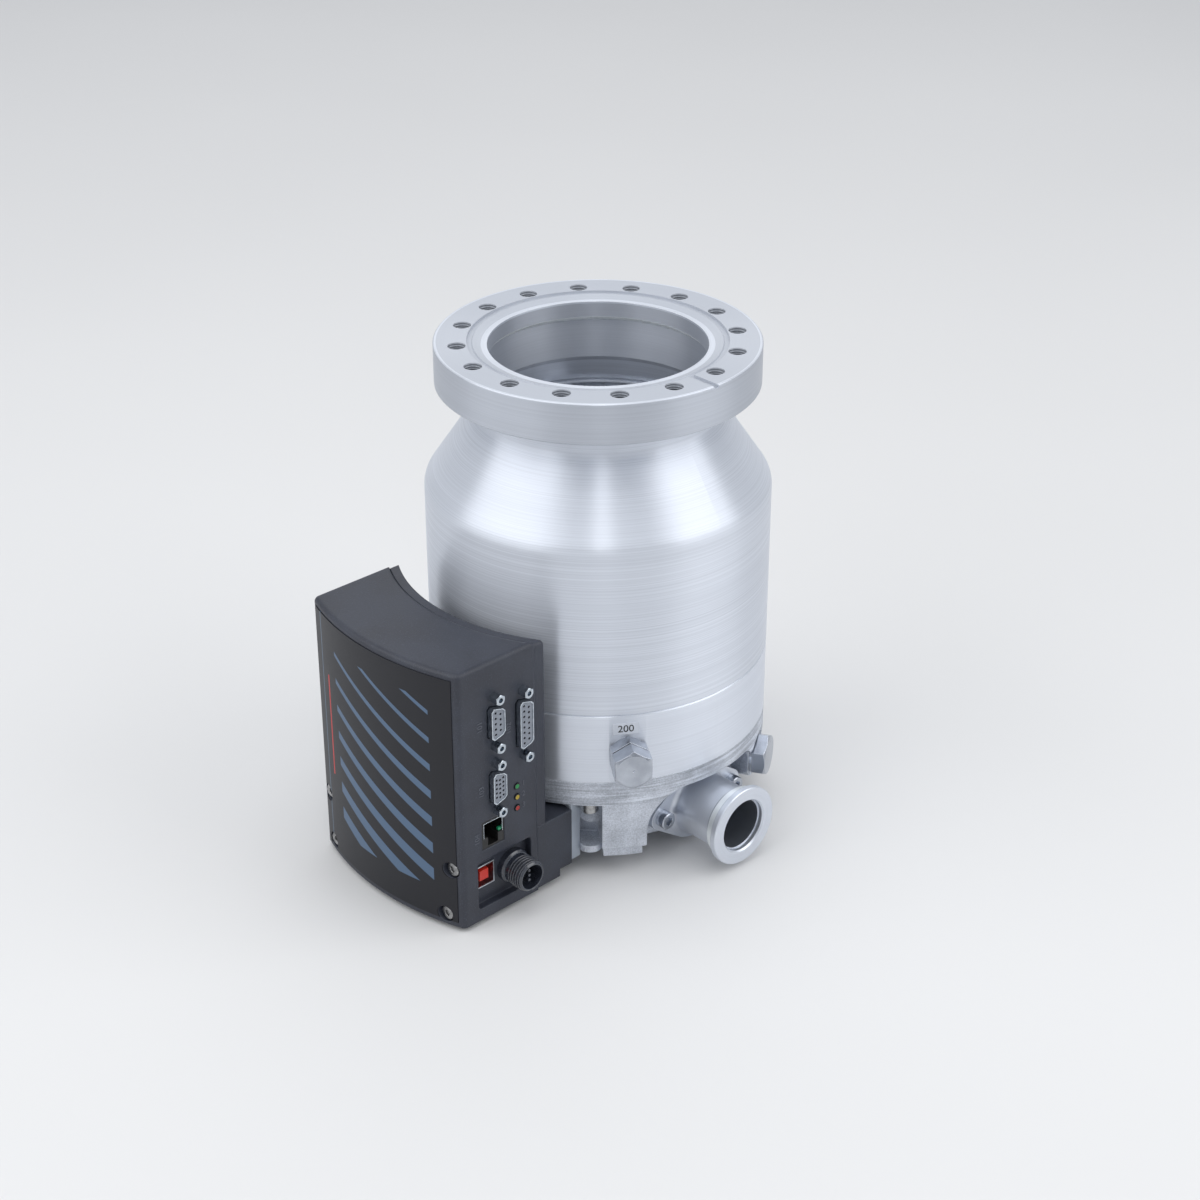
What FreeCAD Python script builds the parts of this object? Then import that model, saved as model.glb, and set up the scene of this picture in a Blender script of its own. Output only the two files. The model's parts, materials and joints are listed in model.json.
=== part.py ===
import FreeCAD, Part
import math
import os

os.makedirs("parts", exist_ok=True)

V = FreeCAD.Vector
up = V(0, 0, 1)
origin = V(0, 0, 0)

# Turbomolecular pump with its drive controller. The origin is the centre of the
# inlet flange face. +Z points out of the inlet, +X out through the foreline port
# and the controller stands on the -Y side. All sizes are in millimetres, and r
# means the distance from the rotor axis.

# Inlet flange
flange_r = 75.8
flange_t = 19.5
flange_edge = 0.5
bolt_pcd = 130.2
bolt_count = 16
bolt_hole_r = 4.2
bolt_first_deg = 10.0
gasket_r = 60.35
gasket_depth = 1.25
knife_r = 57.6
knife_depth = 0.65
knife_ramp_w = 3.6
knife_ramp_deg = 20.0
leak_groove_w = 3.0
leak_groove_depth = 1.3
mouth_r = 51.0
mouth_depth = 9.8
mouth_bevel = 2.0

# Housing
neck_r = 58.0
neck_len = 13.5
neck_wall = 5.0
neck_root_r = 2.5
neck_blend_r = 5.0
cone_len = 35.5
cone_corner_r = 10.0
body_r = 82.0
barrel_len = 84.7
body_wall = 8.0
star_seat_above_cone = 2.5
ring_len = 35.8
ring_wall = 12.0
joint_bevel = 0.6

# Base casting
band_len = 13.0
leg_len = 24.3
pad_t = 5.0
pad_inset = 1.6
barrel_top_inset = 2.0
barrel_bottom_inset = 16.0
leg_half_deg = 7.1
leg_angles = [-34.9, 55.1, 145.1, -147.7]
clamp_angles = [-46.3, 43.7, 133.7, -136.3]
scallop_r = 6.0
ear_t = 3.4
ear_inset = 2.0
arch_left_w = 37.2
arch_left_corner_r = 21.0
arch_right_w = 30.5
arch_right_corner_r = 8.0
arch_above_band = 4.2
skirt_reach = 44.0
chamber_in_r = 40.0
chamber_out_r = 54.0
chamber_depth = 33.0

# Screws between base, lower ring and housing
clamp_inset = 4.5
clamp_r = 2.5
clamp_head_r = 4.25
clamp_head_t = 5.0
clamp_socket_r = 2.3
clamp_grip = 12.0
button_r = 3.2
button_t = 2.0
button_shank_r = 1.5

# Rubber feet
foot_at_r = 52.0
foot_r = 8.0
foot_t = 10.7
foot_stud_r = 3.0
foot_stud_len = 8.0

# Foreline port, a small quick-clamp flange
port_below_band = 17.0
port_seat_x = 63.0
port_plate_t = 6.0
port_screw_y = 23.3
port_plate_r = 20.0
port_ear_r = 6.5
port_root_fillet = 3.2
port_tube_r = 15.8
port_face_x = 101.0
port_flange_r = 20.0
port_flange_t = 3.0
port_bore_r = 12.5
port_recess_r = 13.1
port_recess_depth = 3.0
port_throat_r = 9.5
port_collar_r = 17.6
port_collar_t = 3.6
port_screw_r = 2.5
port_head_r = 4.25
port_head_t = 5.0
port_grip = 10.0
port_key_af = 4.0
seal_section_r = 1.3

# Vent plug on the lower ring
vent_deg = -33.7
vent_above_ring_foot = 15.5
flat_half_w = 8.6
vent_nut_af = 17.0
vent_nut_t = 6.0
vent_washer_r = 8.4
vent_washer_t = 1.0
vent_thread_r = 5.0
vent_shank_r = 4.0
vent_plug_af = 17.4
vent_plug_t = 8.5
vent_plug_shank = 11.0
vent_seal_t = 1.0

# Purge plug on the base
purge_deg = 30.0
purge_below_band = 7.5
purge_boss_r = 11.5
purge_relief_r = 11.6
purge_inset = 2.5
purge_hole_r = 5.0
purge_seal_t = 1.5
purge_seal_r = 9.6
purge_head_af = 19.0
purge_head_t = 6.6
purge_shank = 12.0

# Bearing star under the inlet
star_flange_t = 5.0
star_in_inset = 22.0
star_top_depth = 60.0
arm_count = 3
arm_first_deg = 152.0
arm_half_w = 7.0
arm_rise = 5.0
arm_bevel = 3.4
arm_into_rim = 2.8
hub_r = 16.0
pin_r = 8.0
pin_bore_r = 6.2
pin_len = 22.5
star_cap_r = 12.0
star_cap_t = 2.5
pocket_ring_t = 3.2
pocket_ring_h = 14.0
pocket_count = 40
pocket_deg = 7.5
pocket_depth = 1.8
pocket_margin = 1.3

# Rotor and its stages, from the inlet downwards
rotor_top_gap = 2.0
blade_tip_inset = 13.0
stage_gap = 1.0
rotor_blade_h = [9.0, 8.0, 6.0, 5.0, 5.0]
rotor_blade_count = [20, 22, 26, 30, 30]
rotor_lean_deg = [48.0, 50.0, 56.0, 60.0, 62.0]
rotor_root_t = 2.4
rotor_tip_t = 1.4
stator_blade_h = [6.0, 5.0, 4.0, 4.0]
stator_blade_count = [20, 22, 26, 30]
stator_blade_t = 1.0
stator_rim_t = 2.0
stator_split = 0.2
hub_top_r = 30.0
hub_bottom_r = 44.0
magnet_bore_r = 15.0
magnet_bore_depth = 22.0
shaft_bore_r = 10.0
bell_r = 36.0
bell_top_depth = 39.0
web_gap = 6.0
web_t = 4.0
drag_inset = 20.0
drag_wall = 2.0
drag_len = 46.0
drag_gap = 0.6
groove_count = 8
groove_steps = 3
groove_w = 14.0
groove_depth = 4.0
groove_lean_deg = 32.0
running_gap = 0.6

# Magnet rings at the top of the rotor
magnet_count = 3
magnet_h = 6.0
magnet_wall = 3.0
touchdown_h = 6.0
touchdown_gap = 0.25
stub_r = 3.0

# Shaft, motor and lower bearing
shaft_flange_r = 14.0
shaft_flange_t = 3.0
shaft_r = 8.0
magnet_sleeve_r = 13.0
magnet_sleeve_h = 28.0
motor_above_ring_foot = 19.0
core_in_r = 13.8
core_r = 28.0
slot_count = 6
slot_w = 7.0
slot_in_r = 16.0
slot_out_r = 24.0
winding_end_h = 5.0
winding_gap = 0.3
tube_wall = 5.0
tube_len = 55.0
tube_flange_r = 39.5
tube_flange_t = 5.0
bearing_in_r = 5.0
bearing_out_r = 11.0
bearing_h = 6.0
bearing_below_ring_foot = 7.5
bearing_pitch_r = 8.0
ball_r = 1.6
ball_count = 8
ball_gap = 0.08
inner_land_r = 7.0
outer_land_r = 9.0
cage_half_t = 0.5
cage_h = 4.2
damper_r = 16.0
damper_h = 8.0
damper_lip_r = 13.0
damper_lip_t = 2.0
nut_bore_r = 3.5
nut_top_r = 6.0
nut_bottom_r = 4.4
nut_h = 7.5
wick_r = 22.0
wick_bore_r = 6.6
cover_r = 34.0
cover_t = 5.3
cover_screw_at_r = 28.0
cover_screw_count = 4
fit = 0.1

# Controller; w is the distance from the rotor axis towards -Y
ctrl_half_w = 51.0
ctrl_gap = 18.8
ctrl_depth = 40.6
ctrl_h = 134.7
ctrl_below_band = 38.0
ctrl_wall = 2.8
ctrl_edge_r = 3.0
ctrl_top_edge_r = 2.4
back_plate_t = 4.4
back_plate_drop = 1.2
foot_gap = 2.0
foot_back_inset = 16.7
foot_step = 7.6
foot_step_up = 4.0
foot_up = 1.9
bracket_t = 6.3
bracket_side_inset = 32.0
bracket_h = 33.0
bracket_top_gap = 0.5
overlay_t = 0.4
overlay_margin = 3.2
screw_high = [44.8, 31.4]
screw_low = [41.3, 6.1]
front_bore_r = 4.2
front_bore_depth = 3.0
front_head_r = 3.6
front_head_t = 2.2
front_shank_r = 1.5
front_shank_len = 9.0

# Sockets on the side of the controller; here w is measured from the back edge of
# its side panel, and up from its lower edge
dsub_flange_t = 1.0
dsub_flange_half_w = 5.2
dsub_flange_past_screw = 2.9
dsub_shell_half_w = 3.95
dsub_shell_t = 0.5
dsub_proud = 3.2
dsub_back = 2.3
dsub_taper_deg = 10.0
dsub_corner = 1.4
dsub_clear = 0.3
nine_way = {"w": 24.6, "up": 104.1, "pitch": 24.99, "half_len": 8.15, "row_counts": [5, 4], "pin": 2.77}
fifteen_way = {"w": 7.8, "up": 96.7, "pitch": 33.32, "half_len": 12.33, "row_counts": [8, 7], "pin": 2.77}
dense_way = {"w": 24.4, "up": 70.1, "pitch": 24.99, "half_len": 8.15, "row_counts": [5, 5, 5], "pin": 2.29}
row_step_two = 2.84
row_step_three = 1.98
pin_hole_r = 0.62
pin_hole_depth = 3.0
jack_af = 4.75
jack_len = 5.0
jack_hole_r = 1.2
jack_hole_depth = 3.5
jack_shank_r = 1.4
board_t = 1.6
board_top_up = 129.2
board_foot_up = 37.4
board_back_w = 5.5
board_past_depth = 1.4
light_w = 12.15
light_up = [64.2, 58.5, 52.5]
light_r = 1.5
light_proud = 0.5
net_w = 26.75
net_up = 46.0
net_half_w = 6.6
net_half_h = 7.3
net_len = 15.2
net_wall = 0.9
net_hole_depth = 9.5
net_latch_half_w = 3.0
net_latch_h = 4.6
side_recess_w = [4.1, 36.5]
side_recess_up = [7.0, 33.0]
side_recess_depth = 4.0
side_recess_corner = 2.0
usb_w = 29.95
usb_up = 22.0
usb_half_w = 5.8
usb_half_h = 5.9
usb_len = 13.0
usb_proud = 1.0
usb_wall = 0.6
usb_tongue_half = 2.6
usb_hole_depth = 8.5
power_w = 13.2
power_up = 20.0
power_r = 7.4
power_ring_r = 8.5
power_ring_t = 4.0
power_proud = 15.0
power_behind = 12.0
power_shell_r = 6.2
power_hole_depth = 9.0
power_pin_r = 0.7
power_pin_at_r = 2.6

# How far a cutter reaches past what it cuts
cut_past = 10.0

# Levels along the axis, downwards from the inlet face
z_neck = -flange_t - neck_len
z_cone = z_neck - cone_len
z_housing = z_cone - barrel_len
z_ring = z_housing - ring_len
z_band = z_ring - band_len
z_leg = z_band - leg_len
z_pad = z_leg - pad_t
z_floor = z_pad - foot_t
z_port = z_band - port_below_band
z_vent = z_ring + vent_above_ring_foot
z_purge = z_band - purge_below_band

# Radii and widths that follow the body, whose insets count inwards from its radius,
# and the controller that stands behind it
bore_r = body_r - body_wall
ring_bore_r = body_r - ring_wall
barrel_top_r = body_r - barrel_top_inset
barrel_bottom_r = body_r - barrel_bottom_inset
ear_r = body_r - ear_inset
clamp_pcd_r = body_r - clamp_inset
purge_face_r = body_r - purge_inset
star_in_r = body_r - star_in_inset
arm_end_r = star_in_r + arm_into_rim
blade_tip_r = body_r - blade_tip_inset
drag_r = body_r - drag_inset
ctrl_back_r = body_r + ctrl_gap
ctrl_front_r = ctrl_back_r + ctrl_depth
foot_back_w = body_r - foot_back_inset
foot_step_w = foot_back_w + foot_step
bracket_half_w = body_r - bracket_side_inset
board_front_w = ctrl_depth + board_past_depth

# Places of the star, the rotor and the stages
pack_r = bore_r - fit
z_star_seat = z_cone + star_seat_above_cone
z_star_foot = z_star_seat - star_flange_t
z_star_top = -star_top_depth
z_rotor_top = z_star_foot - rotor_top_gap
spacer_in_r = blade_tip_r + running_gap


def lathe(points, deg=360.0):
    """Solid of revolution about the Z axis from corner points (r, z)."""
    corners = [V(r, 0, z) for r, z in points]
    face = Part.Face(Part.makePolygon(corners + corners[:1]))
    return face.revolve(origin, up, deg)


def tube(r_out, r_in, z_top, z_low):
    return lathe([(r_in, z_low), (r_out, z_low), (r_out, z_top), (r_in, z_top)])


def disc(r, z_top, z_low):
    return Part.makeCylinder(r, z_top - z_low, V(0, 0, z_low))


def box(x0, x1, y0, y1, z0, z1):
    return Part.makeBox(x1 - x0, y1 - y0, z1 - z0, V(x0, y0, z0))


def turned(shape, deg):
    copy = shape.copy()
    copy.rotate(origin, up, deg)
    return copy


def around(shape, count, first=0.0):
    return [turned(shape, first + 360.0 * i / count) for i in range(count)]


def at_angles(shape, angles):
    return [turned(shape, deg) for deg in angles]


def rod(r, x0, x1, z=0.0, y=0.0):
    """Cylinder along +X."""
    return Part.makeCylinder(r, x1 - x0, V(x0, y, z), V(1, 0, 0))


def post(r, x, y, z0, z1):
    return Part.makeCylinder(r, z1 - z0, V(x, y, z0))


def along_x(points, z=0.0, y=0.0):
    """Solid of revolution about a line along +X from corner points (x, r)."""
    corners = [V(x, y, z + r) for x, r in points]
    face = Part.Face(Part.makePolygon(corners + corners[:1]))
    return face.revolve(V(0, y, z), V(1, 0, 0), 360)


def prism_x(points, x0, x1):
    """Straight solid along +X from outline points (y, z)."""
    corners = [V(x0, y, z) for y, z in points]
    face = Part.Face(Part.makePolygon(corners + corners[:1]))
    return face.extrude(V(x1 - x0, 0, 0))


def hexagon(af, x0, x1, z=0.0, y=0.0):
    """Hexagonal bar along +X with a corner at the top."""
    corner = af / math.sqrt(3)
    angles = [math.radians(90 + 60 * i) for i in range(6)]
    return prism_x([(y + corner * math.cos(a), z + corner * math.sin(a)) for a in angles], x0, x1)


def hex_head(af, x0, x1, z=0.0, y=0.0, bevel=1.2):
    """Hexagonal head whose outer corners are turned off to a round face."""
    corner = af / math.sqrt(3)
    cone = along_x([(x0, 0), (x0, corner), (x1 - bevel, corner), (x1, corner - 1.7 * bevel), (x1, 0)], z, y)
    return hexagon(af, x0, x1, z, y).common(cone)


def block(corners):
    """Solid with six flat faces from its eight corners, four below and four above."""
    a, b, c, d, e, f, g, h = corners
    quads = [(a, b, c, d), (e, h, g, f), (a, e, f, b), (b, f, g, c), (c, g, h, d), (d, h, e, a)]
    faces = [Part.Face(Part.makePolygon(list(q) + [q[0]])) for q in quads]
    solid = Part.Solid(Part.Shell(faces))
    if solid.Volume < 0:
        solid.reverse()
    return solid


def blade(r_root, r_tip, h, t_root, t_tip, lean_deg, z_mid):
    """Flat blade standing out along +X, leaning about that direction."""
    lean = h * math.tan(math.radians(lean_deg)) / 2
    corners = []
    for r, t in ((r_root, t_root), (r_tip, t_tip)):
        corners.append(V(r, -lean - t / 2, z_mid - h / 2))
        corners.append(V(r, -lean + t / 2, z_mid - h / 2))
        corners.append(V(r, lean + t / 2, z_mid + h / 2))
        corners.append(V(r, lean - t / 2, z_mid + h / 2))
    return block(corners)


def ring_edges(shape, r, z):
    """Circular edges of a turned solid with radius r at height z."""
    near = 0.05
    level = [e for e in shape.Edges if e.BoundBox.ZLength < near and abs(e.BoundBox.ZMin - z) < near]
    return [e for e in level if abs(e.BoundBox.XMax - r) < near]


def fused(first, others):
    return first.multiFuse(others)


def cut_all(shape, tools):
    return shape.cut(Part.makeCompound(tools))


def save(name, *solids):
    shape = solids[0] if len(solids) == 1 else Part.makeCompound(list(solids))
    found = shape.Solids
    if len(found) == 1:
        shape = found[0]
    shape.exportStep("parts/" + name + ".step")


def inner_cone_r(z):
    """Radius of the inner wall between the neck and the star seat."""
    z_start = z_neck + mouth_bevel
    start_r = neck_r - neck_wall
    end_r = bore_r - 1.0
    share = (z_start - z) / (z_start - z_star_seat)
    return start_r + (end_r - start_r) * share


# Housing with its inlet flange
def make_housing():
    ramp_drop = knife_ramp_w * math.tan(math.radians(knife_ramp_deg))
    ramp_z = -knife_depth - ramp_drop
    z_bevel = -mouth_depth - mouth_bevel
    z_inner = z_neck + mouth_bevel
    inner_r = neck_r - neck_wall
    profile = [
        (gasket_r, 0), (flange_r - flange_edge, 0), (flange_r, -flange_edge),
        (flange_r, -flange_t + flange_edge), (flange_r - flange_edge, -flange_t),
        (neck_r, -flange_t), (neck_r, z_neck), (body_r, z_cone),
        (body_r, z_housing + joint_bevel), (body_r - joint_bevel, z_housing),
        (bore_r, z_housing), (bore_r, z_star_seat), (bore_r - 1.0, z_star_seat),
        (inner_r, z_inner), (inner_r, z_bevel), (mouth_r, -mouth_depth),
        (mouth_r, ramp_z), (knife_r - knife_ramp_w, ramp_z), (knife_r, -knife_depth),
        (knife_r + 0.5, -gasket_depth), (gasket_r, -gasket_depth)]
    body = lathe(profile)
    body = body.makeFillet(neck_root_r, ring_edges(body, neck_r, -flange_t))
    body = body.makeFillet(neck_blend_r, ring_edges(body, neck_r, z_neck))
    body = body.makeFillet(cone_corner_r, ring_edges(body, body_r, z_cone))
    hole = post(bolt_hole_r, bolt_pcd / 2, 0, -flange_t - 1, 1)
    tools = around(hole, bolt_count, bolt_first_deg)
    tools.append(box(gasket_r - 1, flange_r + 1, -leak_groove_w / 2, leak_groove_w / 2, -leak_groove_depth, 1))
    thread = post(clamp_r, clamp_pcd_r, 0, z_housing - 1, z_housing + clamp_grip + 1)
    tools += at_angles(thread, clamp_angles)
    return cut_all(body, tools)


# Polished ring below the housing, with the flat for the vent plug
def flat_x():
    return math.sqrt(body_r ** 2 - flat_half_w ** 2)


def make_lower_ring():
    body = lathe([
        (ring_bore_r, z_ring), (body_r, z_ring), (body_r, z_housing - joint_bevel),
        (body_r - joint_bevel, z_housing), (ring_bore_r, z_housing)])
    flat = turned(box(flat_x(), body_r + 1, -body_r / 4, body_r / 4, z_ring - 1, z_housing + 1), vent_deg)
    vent = turned(rod(vent_thread_r, ring_bore_r - 1, body_r + 1, z_vent), vent_deg)
    holes = at_angles(post(clamp_r + fit, clamp_pcd_r, 0, z_ring - 1, z_housing + 1), clamp_angles)
    return cut_all(body, holes + [flat, vent])


# Cast base with legs, arch, pockets and the gas chamber
def arch_cutter(x0, x1):
    """Opening over the port, with a wide corner on its left and a tight one on its right."""
    top = z_band + arch_above_band
    opening = box(x0, x1, -arch_left_w, arch_right_w, z_pad - cut_past, top)
    upper = [e for e in opening.Edges if e.BoundBox.ZMin > top - 0.01 and e.BoundBox.YLength < 0.01]
    left = [e for e in upper if e.BoundBox.YMax < 0]
    opening = opening.makeFillet(arch_left_corner_r, left)
    upper = [e for e in opening.Edges if e.BoundBox.ZMin > top - 0.01 and e.BoundBox.YLength < 0.01]
    right = [e for e in upper if e.BoundBox.YMin > arch_right_w - 0.01]
    return opening.makeFillet(arch_right_corner_r, right)


def make_base():
    shell = lathe([
        (0, z_pad), (barrel_bottom_r, z_pad), (barrel_bottom_r, z_leg), (barrel_top_r, z_band),
        (body_r, z_band), (body_r, z_ring), (0, z_ring)])
    leg_w = body_r * math.sin(math.radians(leg_half_deg))
    round_bar = disc(body_r, z_ring, z_pad)
    leg = box(foot_at_r, body_r + cut_past, -leg_w, leg_w, z_leg, z_band + 1).common(round_bar)
    skirt = box(foot_at_r, body_r + cut_past, -leg_w, skirt_reach, z_leg, z_band + 1).common(round_bar)
    pad = box(foot_at_r, body_r + cut_past, -leg_w + 0.8, leg_w - 0.8, z_pad, z_leg)
    pad_edges = [e for e in pad.Edges if e.Length < pad_t + 0.01 and e.BoundBox.ZLength > 1]
    pad = pad.common(disc(body_r - pad_inset, z_leg, z_pad))
    ear = box(foot_at_r, ear_r - scallop_r, -scallop_r, scallop_r, z_leg - ear_t, z_leg)
    ear = ear.fuse(post(scallop_r, ear_r - scallop_r, 0, z_leg - ear_t, z_leg))
    boss = rod(purge_boss_r, chamber_out_r, purge_face_r, z_purge)
    boss = boss.common(box(0, body_r, -body_r, body_r, z_pad, z_band + 1))
    solids = at_angles(leg, leg_angles) + at_angles(pad, leg_angles) + at_angles(ear, clamp_angles)
    body = fused(shell, solids + [turned(skirt, leg_angles[0]), turned(boss, purge_deg)])

    tools = [arch_cutter(port_seat_x, body_r + cut_past)]
    bracket_w = foot_back_w - bracket_t
    tools.append(box(-body_r, bracket_half_w + 1, -body_r - 5, -bracket_w, z_pad - 1, z_band))
    scallop = post(scallop_r, clamp_pcd_r - 1, 0, z_leg, z_band)
    scallop = scallop.fuse(box(clamp_pcd_r - 1, body_r + 5, -scallop_r, scallop_r, z_leg, z_band))
    tools += at_angles(scallop, clamp_angles)
    tools += at_angles(post(clamp_r + fit, clamp_pcd_r, 0, z_band - 1, z_ring + 1), clamp_angles)
    tools.append(tube(chamber_out_r, chamber_in_r, z_ring + 1, z_ring - chamber_depth))
    tools.append(rod(port_throat_r, chamber_in_r + 4, port_seat_x + 1, z_port))
    tools.append(turned(rod(purge_hole_r, chamber_out_r - 4, purge_face_r + 1, z_purge), purge_deg))
    tools.append(turned(rod(purge_relief_r, purge_face_r, body_r + 5, z_purge), purge_deg))
    z_lip = z_ring - bearing_below_ring_foot - bearing_h - 1
    tools.append(lathe([
        (0, z_ring + 1), (damper_r, z_ring + 1), (damper_r, z_lip), (damper_lip_r, z_lip),
        (damper_lip_r, z_lip - damper_lip_t), (wick_r, z_lip - damper_lip_t), (wick_r, z_pad + cover_t),
        (cover_r, z_pad + cover_t), (cover_r, z_pad - 1), (0, z_pad - 1)]))
    cover_thread = post(button_shank_r, cover_screw_at_r, 0, z_pad, z_pad + cover_t + 6)
    tools += around(cover_thread, cover_screw_count, 45)
    ear_thread = post(button_shank_r, ear_r - scallop_r, 0, z_leg - ear_t - 1, z_leg - 0.8)
    tools += at_angles(ear_thread, clamp_angles)
    tools += at_angles(post(foot_stud_r, foot_at_r, 0, z_pad - 1, z_pad + foot_stud_len), leg_angles)
    for side in (-1, 1):
        tools.append(rod(port_screw_r, port_seat_x - port_grip - 1, port_seat_x + 1, z_port, side * port_screw_y))
    return cut_all(body, tools)


def make_cover():
    plate = disc(cover_r - fit, z_pad + cover_t, z_pad)
    holes = around(post(button_shank_r + fit, cover_screw_at_r, 0, z_pad - 1, z_pad + cover_t + 1), cover_screw_count, 45)
    sinks = around(post(button_r + 0.3, cover_screw_at_r, 0, z_pad - 1, z_pad + button_t), cover_screw_count, 45)
    return cut_all(plate, holes + sinks)


def button_screw(x, z_seat, length):
    """Round-headed screw that points up, seated from below at z_seat."""
    head = lathe([
        (0, z_seat - button_t), (button_r - 1.2, z_seat - button_t), (button_r, z_seat - button_t + 1.2),
        (button_r, z_seat), (button_shank_r, z_seat), (button_shank_r, z_seat + length), (0, z_seat + length)])
    head.translate(V(x, 0, 0))
    return head


def make_cover_screws():
    inner = around(button_screw(cover_screw_at_r, z_pad + button_t, cover_t + 2), cover_screw_count, 45)
    outer = at_angles(button_screw(ear_r - scallop_r, z_leg - ear_t, ear_t - 1.2), clamp_angles)
    return inner + outer


def make_clamp_screws():
    z_tip = z_housing + clamp_grip
    screw = lathe([
        (0, z_band - clamp_head_t), (clamp_head_r - 0.4, z_band - clamp_head_t),
        (clamp_head_r, z_band - clamp_head_t + 0.4), (clamp_head_r, z_band),
        (clamp_r, z_band), (clamp_r, z_tip), (0, z_tip)])
    socket = disc(clamp_socket_r, z_band - clamp_head_t / 2, z_band - clamp_head_t - 1)
    screw = screw.cut(socket)
    screw.translate(V(clamp_pcd_r, 0, 0))
    return at_angles(screw, clamp_angles)


def make_feet():
    foot = lathe([
        (0, z_floor), (foot_r - 1.5, z_floor), (foot_r, z_floor + 1.5), (foot_r - 0.8, z_pad),
        (foot_stud_r, z_pad), (foot_stud_r, z_pad + foot_stud_len - 1), (0, z_pad + foot_stud_len - 1)])
    foot.translate(V(foot_at_r, 0, 0))
    return at_angles(foot, leg_angles)


# Foreline port
def make_port():
    side = port_plate_r - port_ear_r
    lean = math.asin(side / port_screw_y)
    low_x = port_seat_x
    top_x = port_seat_x + port_plate_t
    plate = rod(port_plate_r, low_x, top_x, z_port)
    corners = []
    for sy, sz in ((1, 1), (1, -1), (-1, -1), (-1, 1)):
        far = (sy * (port_screw_y + port_ear_r * math.sin(lean)), z_port + sz * port_ear_r * math.cos(lean))
        near = (sy * port_plate_r * math.sin(lean), z_port + sz * port_plate_r * math.cos(lean))
        corners += [near, far] if sy * sz > 0 else [far, near]
    ears = [rod(port_ear_r, low_x, top_x, z_port, s * port_screw_y) for s in (-1, 1)]
    trunk = rod(port_tube_r, low_x, port_face_x - cut_past, z_port)
    body = fused(plate, [prism_x(corners, low_x, top_x), trunk] + ears).removeSplitter()
    root = [e for e in body.Edges if e.BoundBox.XLength < 0.01 and abs(e.BoundBox.XMin - top_x) < 0.01
            and abs(e.BoundBox.ZLength - 2 * port_tube_r) < 0.05]
    body = body.makeFillet(port_root_fillet, root)
    rim_x = port_face_x - port_flange_t
    collar_x = rim_x - 1.5 - port_collar_t
    nozzle = along_x([
        (low_x, 0), (low_x, port_tube_r), (collar_x, port_tube_r), (collar_x, port_collar_r - 0.6), (collar_x + 0.6, port_collar_r),
        (collar_x + port_collar_t, port_collar_r), (collar_x + port_collar_t, port_tube_r + 1),
        (rim_x - 0.4, port_tube_r + 2), (rim_x, port_flange_r), (port_face_x - 0.4, port_flange_r),
        (port_face_x, port_flange_r - 0.4), (port_face_x, 0)], z_port)
    bore = along_x([
        (low_x - 1, 0), (low_x - 1, port_throat_r), (top_x, port_throat_r), (top_x + 5, port_bore_r),
        (port_face_x - port_recess_depth, port_bore_r), (port_face_x - port_recess_depth, port_recess_r),
        (port_face_x - 0.8, port_recess_r), (port_face_x + 0.2, port_recess_r + 1), (port_face_x + 0.2, 0)], z_port)
    seal_groove = along_x(port_seal_outline(0.05), z_port)
    screws = [rod(port_screw_r + fit, low_x - 1, top_x + 1, z_port, s * port_screw_y) for s in (-1, 1)]
    heads = [rod(port_head_r + 0.6, top_x, top_x + port_head_t + 2, z_port, s * port_screw_y) for s in (-1, 1)]
    return cut_all(body.fuse(nozzle), [bore, seal_groove] + screws + heads)


def port_seal_outline(gap):
    r_mid = port_throat_r + 2.4
    deep = port_seat_x + 2 * seal_section_r - 0.2 + gap
    half = seal_section_r + gap
    return [(port_seat_x, r_mid - half), (deep, r_mid - half), (deep, r_mid + half), (port_seat_x, r_mid + half)]


def make_port_screws():
    top_x = port_seat_x + port_plate_t
    screws = []
    for side in (-1, 1):
        screw = along_x([
            (port_seat_x - port_grip, 0), (port_seat_x - port_grip, port_screw_r), (top_x, port_screw_r),
            (top_x, port_head_r), (top_x + port_head_t - 0.4, port_head_r),
            (top_x + port_head_t, port_head_r - 0.4), (top_x + port_head_t, 0)], z_port, side * port_screw_y)
        socket = hexagon(port_key_af, top_x + port_head_t / 2, top_x + port_head_t + 1, z_port, side * port_screw_y)
        screws.append(screw.cut(socket))
    return screws


# Vent plug: adapter nut, seal and plug, along the direction vent_deg
def make_vent_adapter():
    x0 = flat_x()
    x_nut = x0 + vent_washer_t
    part = fused(rod(vent_washer_r, x0, x_nut, z_vent), [
        hexagon(vent_nut_af, x_nut, x_nut + vent_nut_t, z_vent),
        rod(vent_thread_r, ring_bore_r + 0.5, x0, z_vent)])
    return turned(part.cut(rod(vent_shank_r + ball_gap, 0, body_r * 2, z_vent)), vent_deg)


def vent_nut_face():
    return flat_x() + vent_washer_t + vent_nut_t


def make_vent_seal():
    x0 = vent_nut_face() + 0.05
    ring = rod(vent_washer_r - 0.8, x0, x0 + vent_seal_t, z_vent)
    return turned(ring.cut(rod(vent_shank_r + ball_gap, x0 - 1, x0 + 3, z_vent)), vent_deg)


def make_vent_plug():
    x0 = vent_nut_face() + vent_seal_t + 0.1
    x1 = x0 + vent_plug_t
    plug = hex_head(vent_plug_af, x0, x1, z_vent)
    plug = plug.fuse(rod(vent_shank_r, x0 - vent_plug_shank, x0, z_vent))
    mark = along_x([(x1 - 0.6, 0), (x1 + 0.1, 0.7), (x1 + 0.1, 0)], z_vent)
    return turned(plug.cut(mark), vent_deg)


def make_purge_seal():
    x0 = purge_face_r
    ring = rod(purge_seal_r, x0, x0 + purge_seal_t, z_purge)
    return turned(ring.cut(rod(purge_hole_r, x0 - 1, x0 + purge_seal_t + 1, z_purge)), purge_deg)


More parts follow.
